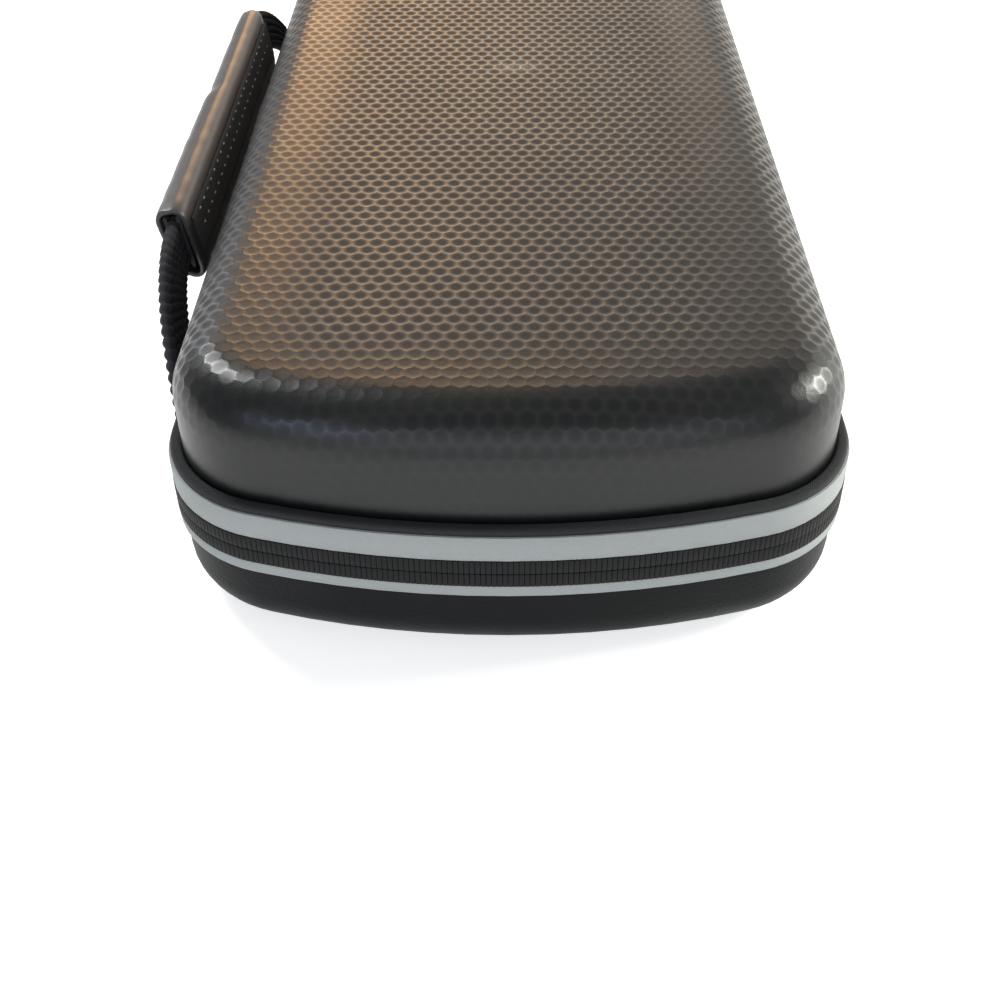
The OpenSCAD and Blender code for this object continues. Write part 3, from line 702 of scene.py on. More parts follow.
def tube(name, count, rings, half_length):
    """Open tube along Y of even rings, to be shaped."""
    step = 2 * half_length / rings
    made = begin(bpy.ops.mesh.primitive_cylinder_add, name, vertices=count, radius=MM, depth=step,
                 end_fill_type="NOTHING", rotation=(math.pi / 2, 0, 0), location=(0, step / 2 - half_length, 0))
    bpy.ops.object.mode_set(mode="OBJECT")
    bpy.ops.object.transform_apply(location=True, rotation=True, scale=True)
    add_modifier(made, "ARRAY", count=rings, use_relative_offset=False, use_constant_offset=True,
                 constant_offset_displace=(0, step, 0), use_merge_vertices=True, merge_threshold=step / 20)
    return made


def shaped(made, move):
    """Moves every vertex to where the function says, from its share round the tube and its place along it."""
    for v in made.data.vertices:
        share = (math.atan2(v.co.z, v.co.x) / (2 * math.pi)) % 1.0
        v.co = move(share, v.co.y)


def section(share, width, height, r):
    """Point on a rounded upright rectangle at a share of its outline, from the middle of its outer side."""
    w, h = width / 2 - r, height / 2 - r
    lengths = [h, r * math.pi / 2, 2 * w, r * math.pi / 2, 2 * h, r * math.pi / 2, 2 * w, r * math.pi / 2, h]
    left = share * sum(lengths)
    part = 0
    while part < 8 and left > lengths[part]:
        left -= lengths[part]
        part += 1
    t = left / r if r else 0
    return [
        Vector((w + r, left)), Vector((w + r * math.cos(t), h + r * math.sin(t))), Vector((w - left, h + r)),
        Vector((-w - r * math.sin(t), h + r * math.cos(t))), Vector((-w - r, h - left)),
        Vector((-w - r * math.cos(t), -h - r * math.sin(t))), Vector((-w + left, -h - r)),
        Vector((w + r * math.sin(t), -h - r * math.cos(t))), Vector((w + r, -h + left)),
    ][part]


def add_modifier(made, kind, **settings):
    """Adds a modifier and applies it."""
    bpy.ops.object.mode_set(mode="OBJECT")
    bpy.ops.object.select_all(action="DESELECT")
    made.select_set(True)
    bpy.context.view_layer.objects.active = made
    modifier = made.modifiers.new(kind.lower(), kind)
    for key, value in settings.items():
        setattr(modifier, key, value)
    bpy.ops.object.modifier_apply(modifier=modifier.name)


class CasePiece:
    """What every operator of the case shares."""
    bl_options = {"REGISTER", "UNDO"}

    def execute(self, context):
        sizes, colours = context.scene.case_sizes, context.scene.case_colours
        self.build(sizes, colours, Plan(sizes))
        return {"FINISHED"}


class CASE_OT_lid_skin(CasePiece, bpy.types.Operator):
    """Moulded lid with its embossed skin"""
    bl_idname = "case.lid_skin"
    bl_label = "Lid skin"

    def build(self, sizes, colours, plan):
        out, wall = -sizes.lid_inset / MM, sizes.shell_wall / MM
        r, top, low = sizes.lid_round / MM, LID_HIGH.z / MM, LID_LOW.z / MM
        # A flange runs out behind the tape and the rim, just below the rim's lower edge
        flange, ledge = -1.0, RIM_LOW.z / MM - 0.1
        lip = [(out, ledge), (flange, ledge), (flange, low), (out - wall, low)]
        made = swept(plan, "lid_skin", cup(out, r, top, -1, wall, lip, 10), closed=False)
        edge, bend = (out - r) * MM, (top - r) * MM

        def place(co):
            """Place on the flat sheet that the skin was moulded from."""
            _, offset, normal = plan.foot(co.x, co.y)
            if offset <= edge:
                return co.x, co.y
            angle = math.atan2(offset - edge, co.z - bend)
            if angle < math.pi / 2:
                reach = sizes.lid_round * angle
            else:
                reach = sizes.lid_round * math.pi / 2 + bend - co.z
            spot = Vector((co.x, co.y)) + normal * (reach - offset + edge)
            return spot.x, spot.y
        lay_uv(made, place)
        dress(made, lid_skin_surface(sizes, colours), "lid", "shell_skin", "lid_shell")


class CASE_OT_base_skin(CasePiece, bpy.types.Operator):
    """Moulded base with its smooth skin"""
    bl_idname = "case.base_skin"
    bl_label = "Base skin"

    def build(self, sizes, colours, plan):
        out, wall, r = -sizes.base_inset / MM, sizes.shell_wall / MM, sizes.base_round / MM
        lip = [(out, BASE_HIGH.z / MM), (out - wall, BASE_HIGH.z / MM)]
        made = swept(plan, "base_skin", cup(out, r, 0, 1, wall, lip, 10), closed=False)
        dress(made, smooth_skin_surface(colours), "base", "shell_skin", "base_shell")


class CASE_OT_zip_tapes(CasePiece, bpy.types.Operator):
    """Light grey tapes of the zip and the black rim above them"""
    bl_idname = "case.zip_tapes"
    bl_label = "Zip tapes and rim"

    def build(self, sizes, colours, plan):
        gap = CORD_HIGH.y
        for node, body in (("lid_zip_tape", "lid"), ("base_zip_tape", "base")):
            low, high = (corner.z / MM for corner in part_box(node))
            middle = (low + high) / 2
            profile = [(-0.9, low), (-0.1, low), (-0.02, low + 0.12), (0.0, middle), (-0.02, high - 0.12),
                       (-0.1, high), (-0.9, high)]
            made = swept(plan, node + "_weave", profile, gap)
            lay_band(made, plan)
            dress(made, tape_surface(colours), body, "grey_tape", node)
        low, high = RIM_LOW.z / MM, RIM_HIGH.z / MM
        r = 0.7
        profile = [(-2.5, low), (-0.5, low)]
        profile += arc((-1.1, high - r), r, 0, 90, 4) + arc((-1.8, high - r), r, 90, 180, 4)
        made = swept(plan, "lid_rim_weave", profile)
        lay_band(made, plan)
        dress(made, cloth_surface(colours), "lid", "black_fabric", "lid_rim")


class CASE_OT_zip_coils(CasePiece, bpy.types.Operator):
    """Two rows of coil, turn by turn"""
    bl_idname = "case.zip_coils"
    bl_label = "Zip coils"

    def build(self, sizes, colours, plan):
        gap = CORD_HIGH.y
        material = coil_surface(colours)
        for node, body, low, high, head in (("base_coil", "base", BASE_COIL_LOW.z, BASE_COIL_HIGH.z, 1),
                                            ("lid_coil", "lid", LID_COIL_LOW.z, LID_COIL_HIGH.z, -1)):
            seam = CORD_LOW.z / 2 + CORD_HIGH.z / 2 - head * 0.04 * MM
            low, high = (low, seam) if head > 0 else (seam, high)
            half = Vector((0.97 * sizes.turn_pitch, high - low, 1.5 * MM)) / 2
            turn = finish_piece(soft_box("turn", -half, half, 0.13 * MM, 2), 60)
            run = plan.total - 2 * gap
            count = int(run / sizes.turn_pitch)
            middle = (low + high) / 2
            places = []
            for i in range(count):
                point, normal = plan.spot(gap + run * (i + 0.5) / count)
                spot = point - normal * 0.68 * MM + Vector((0, 0, middle))
                places.append(turned(spot, Vector((0, 0, 1)).cross(normal), normal))
            turns = stamped(node + "_turns", turn, places)
            edge, tip = (low, high) if head > 0 else (high, low)
            core = [(-1.4, edge), (-0.2, edge), (-0.2, tip - head * 0.3 * MM), (-1.4, tip - head * 0.3 * MM)]
            core = [(o, z / MM) for o, z in core]
            cord = swept(plan, node + "_core", core, gap)
            made = joined(node + "_turns", turns, cord)
            dress(made, material, body, "coil", node)


class CASE_OT_linings(CasePiece, bpy.types.Operator):
    """Fleece linings of both shells and the cloth over their edges"""
    bl_idname = "case.linings"
    bl_label = "Linings"

    def build(self, sizes, colours, plan):
        fleece, cloth = fleece_surface(colours), cloth_surface(colours)
        # The linings are 1 mm thick and lie 0.1 mm inside the shells
        wall, pile = sizes.shell_wall / MM + 0.1, 1
        for body, inset, bend, edge, floor, up in (
            ("base", sizes.base_inset, sizes.base_round, BASE_HIGH.z / MM, wall, 1),
            ("lid", sizes.lid_inset, sizes.lid_round, LID_LOW.z / MM, LID_HIGH.z / MM - wall, -1),
        ):
            out, r = -inset / MM - wall, bend / MM - wall
            profile = cup(out, r, floor, up, pile, [(out, edge), (out - pile, edge)])
            made = swept(plan, body + "_fleece", profile, closed=False)
            dress(made, fleece, body, "fleece", body + "_lining")
        for node, body, inner in (("base_binding", "base", -5.1), ("lid_binding", "lid", -6.7)):
            low, high = (corner.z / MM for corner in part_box(node))
            made = swept(plan, node + "_edge", rounded_band(inner, -1.02, low, high, 0.3))
            lay_band(made, plan)
            dress(made, cloth, body, "black_fabric", node)
        repaint("console_tray", fleece)


class CASE_OT_spine(CasePiece, bpy.types.Operator):
    """Fabric spine over the cord between the base and the lid, with its rows of stitches"""
    bl_idname = "case.spine"
    bl_label = "Spine"

    def build(self, sizes, colours, plan):
        half = CORD_HIGH.y
        axis = (CORD_LOW.z + CORD_HIGH.z) / 2
        low, high = BASE_TAPE_LOW.z, ZIP_HIGH.z
        bulge, thick, spread = 1.9 * MM, 0.55 * MM, 2.7 * MM
        steps, rings, bend = 34, 50, 3.2 * MM

        def face(z):
            """Outer face of the fabric at a height: it swells round the cord."""
            return plan.half_w + bulge * math.exp(-((z - axis) / spread) ** 2 * 1.6)
        levels = [low + (high - low) * i / steps for i in range(steps + 1)]
        outer = [(face(z), -half, z) for z in levels]
        inner = [(face(z) - thick, -half, z) for z in levels]
        made = draw("spine_fabric", outer + inner[::-1])
        bpy.ops.mesh.edge_face_add()
        for _ in range(rings):
            push((0, 2 * half / rings, 0))
        finish_piece(made, 50)
        for v in made.data.vertices:
            near = 1 - min(1, abs(v.co.z - axis) / (2.4 * spread))
            v.co.x += 0.22 * MM * near * noise.noise(Vector((3.0, v.co.y * 90, v.co.z * 300)))
        lay_uv(made, lambda co: (co.y, co.z + co.x))
        made.data.materials.append(cloth_surface(colours))
        drop = sum((Vector(a) - Vector(b)).length for a, b in zip(outer, outer[1:]))
        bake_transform(made)
        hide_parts("spine_leaf_base", "spine_leaf_lid", "spine_cord")
        thread = thread_surface("dark_thread", colours.dark_thread)
        rows = [(low + 0.9 * MM, "base"), (high - 1.0 * MM, "lid"), (high - 3.0 * MM, "lid")]
        for count, (z, body) in enumerate(rows):
            start, end = (Vector((face(z) + 0.08 * MM, sign * (half - 2 * MM), z)) for sign in (-1, 1))
            row = sewn_line("spine_stitches_%d" % count, sizes, start, end, (1, 0, 0))
            dress(row, thread, body, "black_fabric")


class CASE_OT_sliders(CasePiece, bpy.types.Operator):
    """Finishes of the sliders, pulls and end stops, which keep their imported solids"""
    bl_idname = "case.sliders"
    bl_label = "Sliders and pulls"

    def build(self, sizes, colours, plan):
        metal, rubber = metal_surface(colours), rubber_surface(colours)
        for side in ("near", "far"):
            repaint("slider_" + side, metal)
            repaint("pull_link_" + side, metal)
            repaint("pull_tab_" + side, rubber)
        repaint("zip_end_stops", metal)


class HandleLine:
    """Course of the leaning grip and of one leg of the webbing, as in the part's source."""
    grip_half, grip_out, grip_z = 54 * MM, 6.1 * MM, 38.3 * MM
    grip_thick, grip_high = 6.2 * MM, 15.6 * MM
    lean = math.radians(9)
    width, anchor, foot = 9 * MM, 81 * MM, 15 * MM
    swing, twist, loop_power, out_power = 1.2 * MM, 0.6 * MM, 1.11, 2.4
    steps = 60

    def __init__(self, plan):
        self.half_w = plan.half_w
        points = [self.leg(i / self.steps, 0.5) for i in range(self.steps + 1)]
        self.runs = [0.0]
        for a, b in zip(points, points[1:]):
            self.runs.append(self.runs[-1] + (b - a).length)

    def grip(self, out, up, y):
        """Place of a point of the grip's section, from its middle."""
        c, s = math.cos(self.lean), math.sin(self.lean)
        return Vector((-self.half_w - self.grip_out - out * c - up * s, y, self.grip_z - out * s + up * c))

    def leg(self, s, edge):
        """Point of the far leg, from the grip's end to the anchor, edge 0 at its inner edge and 1 at its outer one."""
        turn = math.pi / 2 * min(1, max(0, s))
        rise = max(0, math.cos(turn)) ** self.loop_power
        y = self.grip_half + (self.anchor + edge * self.width - self.grip_half) * math.sin(turn) ** self.loop_power
        z = self.foot + (self.grip_z + (edge - 0.5) * self.width - self.foot) * rise
        lean = (1 - s) * self.width / 2 * math.sin(self.lean) + self.twist * math.sin(2 * turn)
        out = self.swing + (self.grip_out - self.swing) * max(0, 1 - s * s) ** self.out_power
        return Vector((-self.half_w - out - (2 * edge - 1) * lean, y, z))

    def share(self, run):
        """Share of the leg at a distance along it."""
        i = 0
        while i < self.steps - 1 and self.runs[i + 1] < run:
            i += 1
        return (i + (run - self.runs[i]) / (self.runs[i + 1] - self.runs[i])) / self.steps

    def strap(self, out, across, along):
        """Place of a point of the strap: out from its face, across its width, along it from the grip's middle."""
        run = abs(along) - self.grip_half
        if run <= 0:
            return self.grip(out, across, along)
        s, edge = self.share(run), 0.5 + across / self.width
        ahead = self.leg(min(1, s + 0.01), edge) - self.leg(max(0, s - 0.01), edge)
        side = self.leg(s, 1) - self.leg(s, 0)
        face = side.cross(ahead).normalized()
        if face.x > 0:
            face = -face
        spot = self.leg(s, edge) + face * out
        return Vector((spot.x, math.copysign(spot.y, along), spot.z))


class CASE_OT_webbing(CasePiece, bpy.types.Operator):
    """Coarse webbing of the handle with its sewn ends"""
    bl_idname = "case.webbing"
    bl_label = "Handle webbing"

    def build(self, sizes, colours, plan):
        line = HandleLine(plan)
        count, pitch, thick = 64, sizes.rib_pitch, 1.3 * MM
        half = line.grip_half + line.runs[-1]
        made = tube("webbing_strap", count, int(2 * half / (pitch / 6)), half)
        column = line.width / 5

        def knot(across, along):
            """Height of the webbing's loops, which lie in columns, each half a loop further on than the last."""
            index = math.floor(across / column + 0.5)
            row = abs(math.sin(math.pi * (along / pitch + 0.5 * (index % 2))))
            return row ** 0.6 * abs(math.cos(math.pi * across / column)) ** 0.5

        def move(share, along):
            spot = section(share, thick, line.width, 0.49 * thick)
            if abs(spot.y) > 0.44 * line.width:
                bump = abs(math.sin(math.pi * along / pitch)) ** 0.6
                side = spot.y + math.copysign(0.45 * MM * bump, spot.y)
                return line.strap(spot.x * (0.9 + 0.5 * bump), side, along)
            return line.strap(spot.x + math.copysign(0.75 * MM * knot(spot.y, along), spot.x), spot.y, along)
        shaped(made, move)
        capped(made, 70)
        lay_uv(made, lambda co: (co.y, co.z))
        material = webbing_surface(colours)
        dress(made, material, "handle", "webbing", "handle_webbing")
        thread = thread_surface("dark_thread", colours.dark_thread)
        for node in ("handle_anchor_near", "handle_anchor_far"):
            low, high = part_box(node)
            middle = (low + high) / 2
            patch = soft_box(node + "_patch", low, high, 0.5 * MM)
            pick(patch, lambda f: f.normal.x < -0.9, "FACE")
            bpy.ops.mesh.subdivide(number_cuts=24)
            finish_piece(patch, 50)
            for v in patch.data.vertices:
                if v.co.x < low.x + 0.05 * MM:
                    v.co.x -= 0.3 * MM * (knot(v.co.y - middle.y, v.co.z) - 0.6)
            lay_uv(patch, lambda co: (co.y, co.z))
            dress(patch, material, "base", "webbing", node)
            face = low.x - 0.1 * MM
            y0, y1, z0, z1 = low.y + 1.5 * MM, high.y - 1.5 * MM, low.z + 1.3 * MM, high.z - 1.3 * MM
            corners = [(y0, z0), (y1, z0), (y1, z1), (y0, z1)]
            # The box seam with its cross
            lines = [(corners[i], corners[(i + 1) % 4]) for i in range(4)] + [corners[0::2], corners[1::2]]
            rows = [
                sewn_line("%s_row_%d" % (node, i), sizes, (face, *a), (face, *b), (-1, 0, 0), 0.2)
                for i, (a, b) in enumerate(lines)
            ]
            dress(joined(node + "_stitches", *rows), thread, "base", "webbing")


class CASE_OT_grip(CasePiece, bpy.types.Operator):
    """Padded grip: soft wrap, foam core, overlap and two rows of pale stitches"""
    bl_idname = "case.grip"
    bl_label = "Grip"

    def build(self, sizes, colours, plan):
        line = HandleLine(plan)
        half, width, height = line.grip_half, line.grip_thick, line.grip_high
        made = tube("grip_pad", 64, 108, half)

        def move(share, y):
            spot = section(share, width, height, 2.9 * MM)
            normal = section(share, width + 2 * MM, height + 2 * MM, 3.9 * MM) - spot
            crumple = noise.noise(Vector((spot.x * 160, y * 50, spot.y * 160)))
            fold = noise.noise(Vector((spot.x * 40, y * 200, spot.y * 30 + 7)))
            outer = max(0, min(1, 0.5 + spot.x / (0.6 * width)))
            inner = max(0, min(1, -spot.x / (0.4 * width)))
            # A crease across the outer face, beyond which the pad is a little thinner
            step = 0.5 + 0.5 * math.tanh((y - 4 * MM) / (3 * MM))
            crease = math.exp(-((y - 6 * MM) / (2.5 * MM)) ** 2)
            slack = 0.2 * MM * crumple + 0.12 * MM * fold - outer * (0.45 * step + 0.35 * crease) * MM
            # The inner side is fuller, most along its lower edge
            slack += inner * (0.6 + 0.9 * max(0, -spot.y / height * 2)) * MM
            # Both ends are drawn in, and their upper outer corner bulges a little
            end = max(0, 1 - (half - abs(y)) / (5 * MM))
            slack += end * end * MM * (0.5 * max(0, outer * spot.y / height * 2) - 0.6)
            spot = spot + normal.normalized() * slack
            return line.grip(spot.x, spot.y, y)
        shaped(made, move)
        bpy.ops.object.mode_set(mode="EDIT")
        bpy.ops.mesh.select_all(action="SELECT")
        bpy.ops.mesh.normals_make_consistent(inside=False)
        add_modifier(made, "SOLIDIFY", thickness=1.0 * MM, offset=-1, use_rim=True)
        add_modifier(made, "BEVEL", width=0.3 * MM, segments=2, limit_method="ANGLE", angle_limit=math.radians(50))
        finish_piece(made, 60)
        dress(made, grip_surface(colours), "handle", "grip_skin", "grip_wrap")
        foam_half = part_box("grip_foam")[1].y
        halves = []
        for side in (-1, 1):
            slab = tube("foam_half", 24, 8, foam_half)

            def lie(share, y):
                spot = section(share, 0.9 * MM, height - 3.6 * MM, 0.4 * MM)
                return line.grip(side * 1.35 * MM + spot.x, spot.y, y)
            shaped(slab, lie)
            halves.append(capped(slab, 50))
        dress(joined("grip_core", *halves), foam_surface(colours), "handle", "foam", "grip_foam")
        overlap_half, overlap_high, overlap_thick = half - 2 * MM, 9 * MM, 0.6 * MM
        strip = tube("grip_overlap", 24, 60, overlap_half)
        face = -width / 2 - 0.75 * MM

        def fold(share, y):
            spot = section(share, overlap_thick, overlap_high, 0.25 * MM)
            ripple = 0.1 * MM * noise.noise(Vector((0, y * 150, spot.y * 100)))
            return line.grip(face + spot.x + ripple, spot.y, y)
        shaped(strip, fold)
        capped(strip, 50)
        lay_uv(strip, lambda co: (co.y, co.z))
        dress(strip, cloth_surface(colours), "handle", "black_fabric")
        out = face - overlap_thick / 2 - 0.02 * MM
        outward = (math.cos(line.lean), 0, math.sin(line.lean))
        rows = []
        for i, up in enumerate((0.3 * MM, 3.4 * MM)):
            ends = [line.grip(out, up, sign * (half - 6 * MM)) for sign in (-1, 1)]
            rows.append(sewn_line("grip_row_%d" % i, sizes, *ends, outward, gap_share=0.6, seen=0.42))
        dress(joined("grip_stitches", *rows), thread_surface("pale_thread", colours.thread), "handle", "grip_skin")


class CASE_OT_page(CasePiece, bpy.types.Operator):
    """Card page: board, binding, pockets, lifting tab and cloth hinge"""
    bl_idname = "case.page"
    bl_label = "Card page"

    def build(self, sizes, colours, plan):
        fleece, cloth = fleece_surface(colours), cloth_surface(colours)
        low, high = (corner.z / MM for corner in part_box("page_board"))
        middle, r = (low + high) / 2, (high - low) / 2
        out = (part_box("page_board")[1].y - plan.half_l) / MM
        profile = [(out - 6, high)] + arc((out - r, middle), r, 90, -90, 6) + [(out - 6, low)]
        dress(swept(plan, "page_pad", profile, closed=False), fleece, "page", "fleece", "page_board")
        low, high = (corner.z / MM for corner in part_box("page_binding"))
        out = (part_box("page_binding")[1].y - plan.half_l) / MM
        made = swept(plan, "page_edge", rounded_band(out - 1.1, out, low, high, 0.5))
        lay_band(made, plan)
        dress(made, cloth, "page", "black_fabric", "page_binding")
        tab = finish_piece(soft_box("page_pull", *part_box("page_tab"), 0.35 * MM), 50)
        lay_uv(tab, lambda co: (co.y, co.x + co.z))
        dress(tab, webbing_surface(colours), "page", "webbing", "page_tab")
        self.hinge(cloth)
        self.pockets(sizes, colours, cloth)

    def hinge(self, cloth):
        """Cloth from the bead on the tray's edge to the underside of the page, and the hem that carries it."""
        low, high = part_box("page_hinge")
        bead = Vector((BEAD_X, low.y, BEAD_Z))
        under = high.z - 0.35 * MM
        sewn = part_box("page_binding")[1].x - 2.6 * MM
        path = [bead]
        for i in range(1, 9):
            t = i / 8
            rise = t * t * (3 - 2 * t) * 0.4 + t * 0.6
            path.append(Vector((bead.x + (sewn - bead.x) * t, low.y, bead.z + (under - bead.z) * rise)))
        path.append(Vector((low.x + 0.2 * MM, low.y, under)))
        half = 0.3 * MM
        upper, lower = [], []
        for i, p in enumerate(path):
            step = path[min(i + 1, len(path) - 1)] - path[max(i - 1, 0)]
            side = Vector((-step.z, 0, step.x)).normalized() * half
            upper.append(p + side)
            lower.append(p - side)
        made = draw("page_cloth", upper + lower[::-1])
        bpy.ops.mesh.edge_face_add()
        push((0, high.y - low.y, 0))
        finish_piece(made, 50)
        lay_uv(made, lambda co: (co.y, co.x - co.z))
        dress(made, cloth, "page", "black_fabric", "page_hinge")
        hem = finish_piece(soft_box("page_hem_edge", *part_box("page_hem"), 0.3 * MM), 50)
        lay_uv(hem, lambda co: (co.y, co.x + co.z))
        dress(hem, cloth, "base", "black_fabric", "page_hem")

    def pockets(self, sizes, colours, cloth):
        """Ten card pockets in two rows, each with a thumb notch, a hemmed mouth and a row of stitches."""
        low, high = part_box("card_pockets")
        tall, wide, thick = 30 * MM, 34 * MM, high.z - low.z
        corner, notch = 3.6 * MM, 7 * MM
        x0, x1, y1 = -tall / 2, tall / 2, wide / 2
        # Each corner is an arc of four points, the first and the last on the sides
        turns = (0, 0.52, 1.05, 1.57)
        ring = [(x0, -y1 + corner)]
        ring += [(x0 + corner * (1 - math.sin(t)), -y1 + corner * (1 - math.cos(t))) for t in turns[2::-1]]
        ring += [(x1 - corner * (1 - math.sin(t)), -y1 + corner * (1 - math.cos(t))) for t in turns]
        ring += [(x1 - corner * (1 - math.cos(t)), y1 - corner * (1 - math.sin(t))) for t in turns]
        ring += [(x0 + corner * (1 - math.sin(t)), y1 - corner * (1 - math.cos(t))) for t in turns]
        ring += arc((x0, 0), notch, 90, -90, 10)
        pocket = draw("pocket", [(x, y, 0) for x, y in ring])
        bpy.ops.mesh.edge_face_add()
        push((0, 0, thick - 0.35 * MM))
        # The edge is folded over in a hem, and the panel inside it lies lower
        for inset, rise in ((0.5, 0.3), (1.5, 0.02), (0.35, -0.18), (0.6, 0.12)):
            bpy.ops.mesh.inset(thickness=inset * MM, depth=rise * MM)
        finish_piece(pocket, 5)
        places, stitch_places = [], []
        pitch = sizes.stitch_length * 1.4
        for row in (-1, 1):
            for i in range(5):
                middle = Vector((row * (tall / 2 + 4 * MM) + 3 * MM, (i - 2) * (wide + 4 * MM), low.z))
                places.append(Matrix.Translation(middle))
                for a, b in (((x0, -y1), (x1, -y1)), ((x1, -y1), (x1, y1)), ((x1, y1), (x0, y1))):
                    a, b = Vector((*a, 0)), Vector((*b, 0))
                    inward = Vector((0, 0, 1)).cross(b - a).normalized() * 1.3 * MM
                    count = int(((b - a).length - 6 * MM) / pitch)
                    for k in range(count):
                        spot = a + (b - a) * ((k + 0.5 + 3 * MM / pitch) * pitch / (b - a).length)
                        stitch_places.append(turned(middle + spot + inward + Vector((0, 0, thick)), b - a, (0, 0, 1)))
        made = stamped("pocket_cloth", pocket, places)
        lay_uv(made, lambda co: (co.y, co.x + co.z))
        dress(made, cloth, "page", "black_fabric", "card_pockets")
        rows = stamped("pocket_stitches", stitch_model(sizes), stitch_places)
        dress(rows, thread_surface("dark_thread", colours.dark_thread), "page", "black_fabric")


class CASE_OT_net(CasePiece, bpy.types.Operator):
    """Net pocket of the lid, its gathered elastic and its sewn border"""
    bl_idname = "case.net"
    bl_label = "Net pocket"

    def build(self, sizes, colours, plan):
        cloth = cloth_surface(colours)
        low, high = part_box("pocket_net")
        edge = low.x
        border = -6.95 * MM
        middle_z = (low.z + high.z) / 2
        columns = int((high.x - low.x) / sizes.net_pitch)
        rows = int((high.y - low.y) / sizes.net_pitch)
        net = begin(bpy.ops.mesh.primitive_grid_add, "net_mesh", x_subdivisions=columns, y_subdivisions=rows,
                    size=1, location=(0, 0, 0))
        bpy.ops.object.mode_set(mode="OBJECT")
        for v in net.data.vertices:
            x = low.x + (v.co.x + 0.5) * (high.x - low.x)
            y = low.y + (v.co.y + 0.5) * (high.y - low.y)
            column, row = round((v.co.x + 0.5) * columns), round((v.co.y + 0.5) * rows)
            _, offset, normal = plan.foot(x, y)
            if offset > border and (abs(y) > plan.corner_y or x > 0):
                x -= normal.x * (offset - border)
                y -= normal.y * (offset - border)
                offset = border
            inside = min(1, (border - offset) / (30 * MM))
            open_edge = min(1, (x - edge) / (30 * MM))
            sag = -1.1 * MM * max(0, inside) * max(0, open_edge)
            zigzag = 0.22 * sizes.net_pitch * (-1) ** (column + row) * min(1, max(0, (border - offset) / (5 * MM)))
            v.co = (x + zigzag * 0.6, y + zigzag, middle_z + sag)
        add_modifier(net, "WIREFRAME", thickness=0.42 * MM, use_even_offset=False, use_boundary=True, use_replace=True)
        finish_piece(net, 60)
        net_cord = thread_surface("net_cord", linear("1a1b1d"))
        dress(net, net_cord, "lid", "black_fabric", "pocket_net")
        low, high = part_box("pocket_elastic")
        band = soft_box("net_elastic", low, high, 0.4 * MM, 2)
        pick(band, lambda a, b: abs(a.y - b.y) > 0.1, "EDGE")
        bpy.ops.mesh.subdivide(number_cuts=180)
        finish_piece(band, 60)
        for v in band.data.vertices:
            gather = math.sin(v.co.y * 2 * math.pi / (3.4 * MM) + 1.5 * noise.noise(Vector((v.co.y * 30, 0, 0))))
            middle = (low.z + high.z) / 2
            v.co.z = middle + (v.co.z - middle) * (0.82 + 0.16 * gather)
        lay_uv(band, lambda co: (co.y, co.x + co.z))
        dress(band, cloth, "lid", "black_fabric", "pocket_elastic")
        low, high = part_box("pocket_binding")
        strip = swept(plan, "net_border", rounded_band(-9.7, -6.8, low.z / MM, high.z / MM, 0.3))
        bpy.ops.object.mode_set(mode="EDIT")
        bpy.ops.mesh.select_all(action="SELECT")
        bpy.ops.mesh.bisect(plane_co=(edge, 0, 0), plane_no=(1, 0, 0), clear_inner=True, use_fill=True)
        finish_piece(strip, 50)
        lay_band(strip, plan)
        dress(strip, cloth, "lid", "black_fabric", "pocket_binding")


# Name, place, aim, size in metres, power in watts and colour of each lamp
LAMPS = (
    # Warm panels behind the case, whose reflection gives the top its bronze sheen, strongest at the left
    ("warm_left", (-0.225, 1.15, 0.475), (0, 0, 0.03), (0.3, 0.62), 3.1, "ffca93"),
    ("warm_middle", (0.025, 1.15, 0.475), (0, 0, 0.03), (0.2, 0.62), 1.25, "ffe0bc"),
    ("warm_right", (0.275, 1.15, 0.475), (0, 0, 0.03), (0.3, 0.62), 0.6, "ffeedb"),
    # Panels beside them for the lid's side edges
    ("left_back", (-0.75, 0.85, 0.42), (-0.05, 0, 0.04), (0.35, 0.6), 1.1, "dfe9fa"),
    ("right_back", (0.75, 1.0, 0.42), (0.05, 0, 0.04), (0.5, 0.6), 2.6, "fff4e4"),
    # Broad cool panel in front for the zip band
    ("front_panel", (0.0, -1.6, 0.7), (0, -0.1, 0.02), (2.4, 1.2), 12.0, "f4f7fb"),
    # Windows that shine on the front corners of the lid
    ("right_window", (0.95, 0.13, 0.42), (0.05, -0.11, 0.04), (0.32, 0.32), 12.6, "f8f9f0"),
    ("left_window", (-0.46, 0.33, 0.62), (-0.04, -0.11, 0.04), (0.18, 0.36), 4.2, "f4f6f4"),
    ("blue_window", (-0.53, -0.84, 0.53), (-0.03, -0.12, 0.045), (0.14, 0.14), 0.6, "a9ccff"),
)
# Camera fitted to the photograph: place, and angles down, roll and turn in degrees
CAMERA_PLACE, CAMERA_DOWN, CAMERA_ROLL, CAMERA_TURN = (0.0006, -0.2929, 0.1722), 39.98, 0.604, 0.66


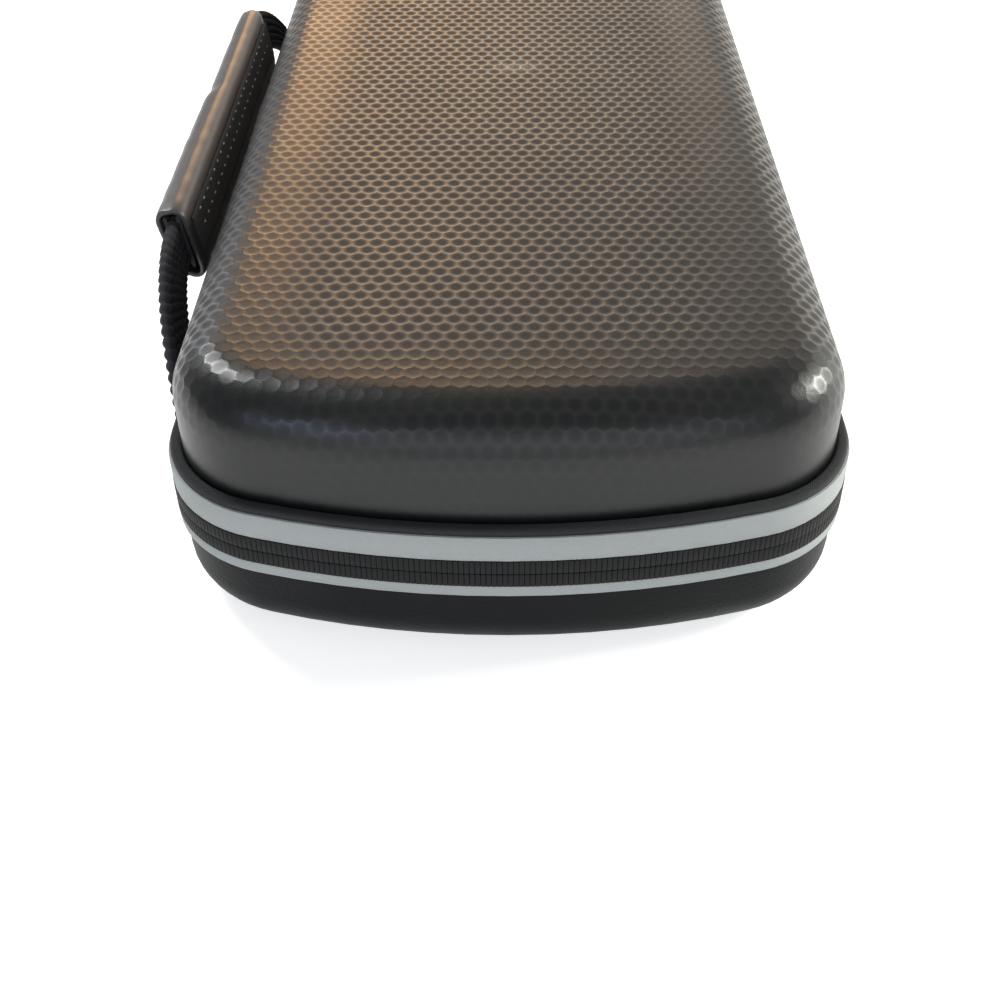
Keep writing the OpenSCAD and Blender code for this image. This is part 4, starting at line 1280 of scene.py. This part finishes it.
class CASE_OT_stage(CasePiece, bpy.types.Operator):
    """Pale floor, soft lamps and the camera"""
    bl_idname = "case.stage"
    bl_label = "Stage"

    def build(self, sizes, colours, plan):
        floor = begin(bpy.ops.mesh.primitive_plane_add, "floor", size=8, location=(0, 0, -0.1 * MM))
        finish_piece(floor)
        floor.data.materials.append(floor_surface(colours))
        scene = bpy.context.scene
        scene.view_settings.view_transform = "Standard"
        world = bpy.data.worlds.new("studio")
        world.use_nodes = True
        tree = world.node_tree
        tree.nodes.clear()
        rays = add(tree, "ShaderNodeLightPath")
        dim = add(tree, "ShaderNodeBackground", {"Color": linear("f2f4f6"), "Strength": ROOM_GLOW})
        white = add(tree, "ShaderNodeBackground", {"Color": WHITE, "Strength": 1.0})
        shaders = {0: rays.outputs["Is Camera Ray"], 1: dim.outputs[0], 2: white.outputs[0]}
        mixed = add(tree, "ShaderNodeMixShader", shaders)
        add(tree, "ShaderNodeOutputWorld", {"Surface": mixed.outputs[0]})
        scene.world = world
        for row in LAMPS:
            self.lamp(*row)
        self.camera(scene)

    def lamp(self, name, place, aim, size, power, colour):
        """A soft rectangular lamp that shows in reflections and not to the camera."""
        light = bpy.data.lights.new(name, "AREA")
        light.shape = "RECTANGLE"
        light.size, light.size_y = size
        light.energy = power
        light.color = linear(colour)[:3]
        made = bpy.data.objects.new(name, light)
        bpy.context.scene.collection.objects.link(made)
        made.location = place
        made.rotation_mode = "QUATERNION"
        made.rotation_quaternion = (Vector(aim) - Vector(place)).to_track_quat("-Z", "Y")
        made.visible_camera = False

    def camera(self, scene):
        """Camera at the photograph's angle: 40 degrees down over the near end, turned and rolled a little."""
        data = bpy.data.cameras.new("photo_view")
        data.sensor_width = 36.0
        data.lens = 48.8
        data.clip_start, data.clip_end = 0.01, 20.0
        made = bpy.data.objects.new("photo_view", data)
        scene.collection.objects.link(made)
        down, roll, turned_by = (math.radians(a) for a in (CAMERA_DOWN, CAMERA_ROLL, CAMERA_TURN))
        ahead = Vector((0, math.cos(down), -math.sin(down)))
        right = Vector((1, 0, 0))
        below = ahead.cross(right)
        side = right * math.cos(roll) + below * math.sin(roll)
        above = right * math.sin(roll) - below * math.cos(roll)
        turn = Matrix.Rotation(turned_by, 3, "Z")
        axes = Matrix([turn @ side, turn @ above, turn @ -ahead]).transposed()
        made.matrix_world = Matrix.Translation(CAMERA_PLACE) @ axes.to_4x4()
        scene.camera = made


OPERATORS = (
    CASE_OT_stage, CASE_OT_lid_skin, CASE_OT_base_skin, CASE_OT_zip_tapes, CASE_OT_zip_coils, CASE_OT_linings,
    CASE_OT_spine, CASE_OT_sliders, CASE_OT_webbing, CASE_OT_grip, CASE_OT_page, CASE_OT_net,
)


class CASE_PT_panel(bpy.types.Panel):
    """Lists the pieces of the case"""
    bl_idname = "CASE_PT_panel"
    bl_label = "Console case"
    bl_space_type = "VIEW_3D"
    bl_region_type = "UI"
    bl_category = "Case"

    def draw(self, context):
        for operator in OPERATORS:
            self.layout.operator(operator.bl_idname)
        for group in (context.scene.case_sizes, context.scene.case_colours):
            box = self.layout.box()
            for key in group.bl_rna.properties.keys():
                if key not in ("rna_type", "name"):
                    box.prop(group, key)


CLASSES = (CaseSizes, CaseColours) + OPERATORS + (CASE_PT_panel,)


def register():
    for item in CLASSES:
        bpy.utils.register_class(item)
    bpy.types.Scene.case_sizes = bpy.props.PointerProperty(type=CaseSizes)
    bpy.types.Scene.case_colours = bpy.props.PointerProperty(type=CaseColours)


def unregister():
    del bpy.types.Scene.case_sizes
    del bpy.types.Scene.case_colours
    for item in reversed(CLASSES):
        bpy.utils.unregister_class(item)


def main():
    register()
    for operator in OPERATORS:
        group, name = operator.bl_idname.split(".")
        getattr(getattr(bpy.ops, group), name)()


if __name__ == "__main__":
    main()
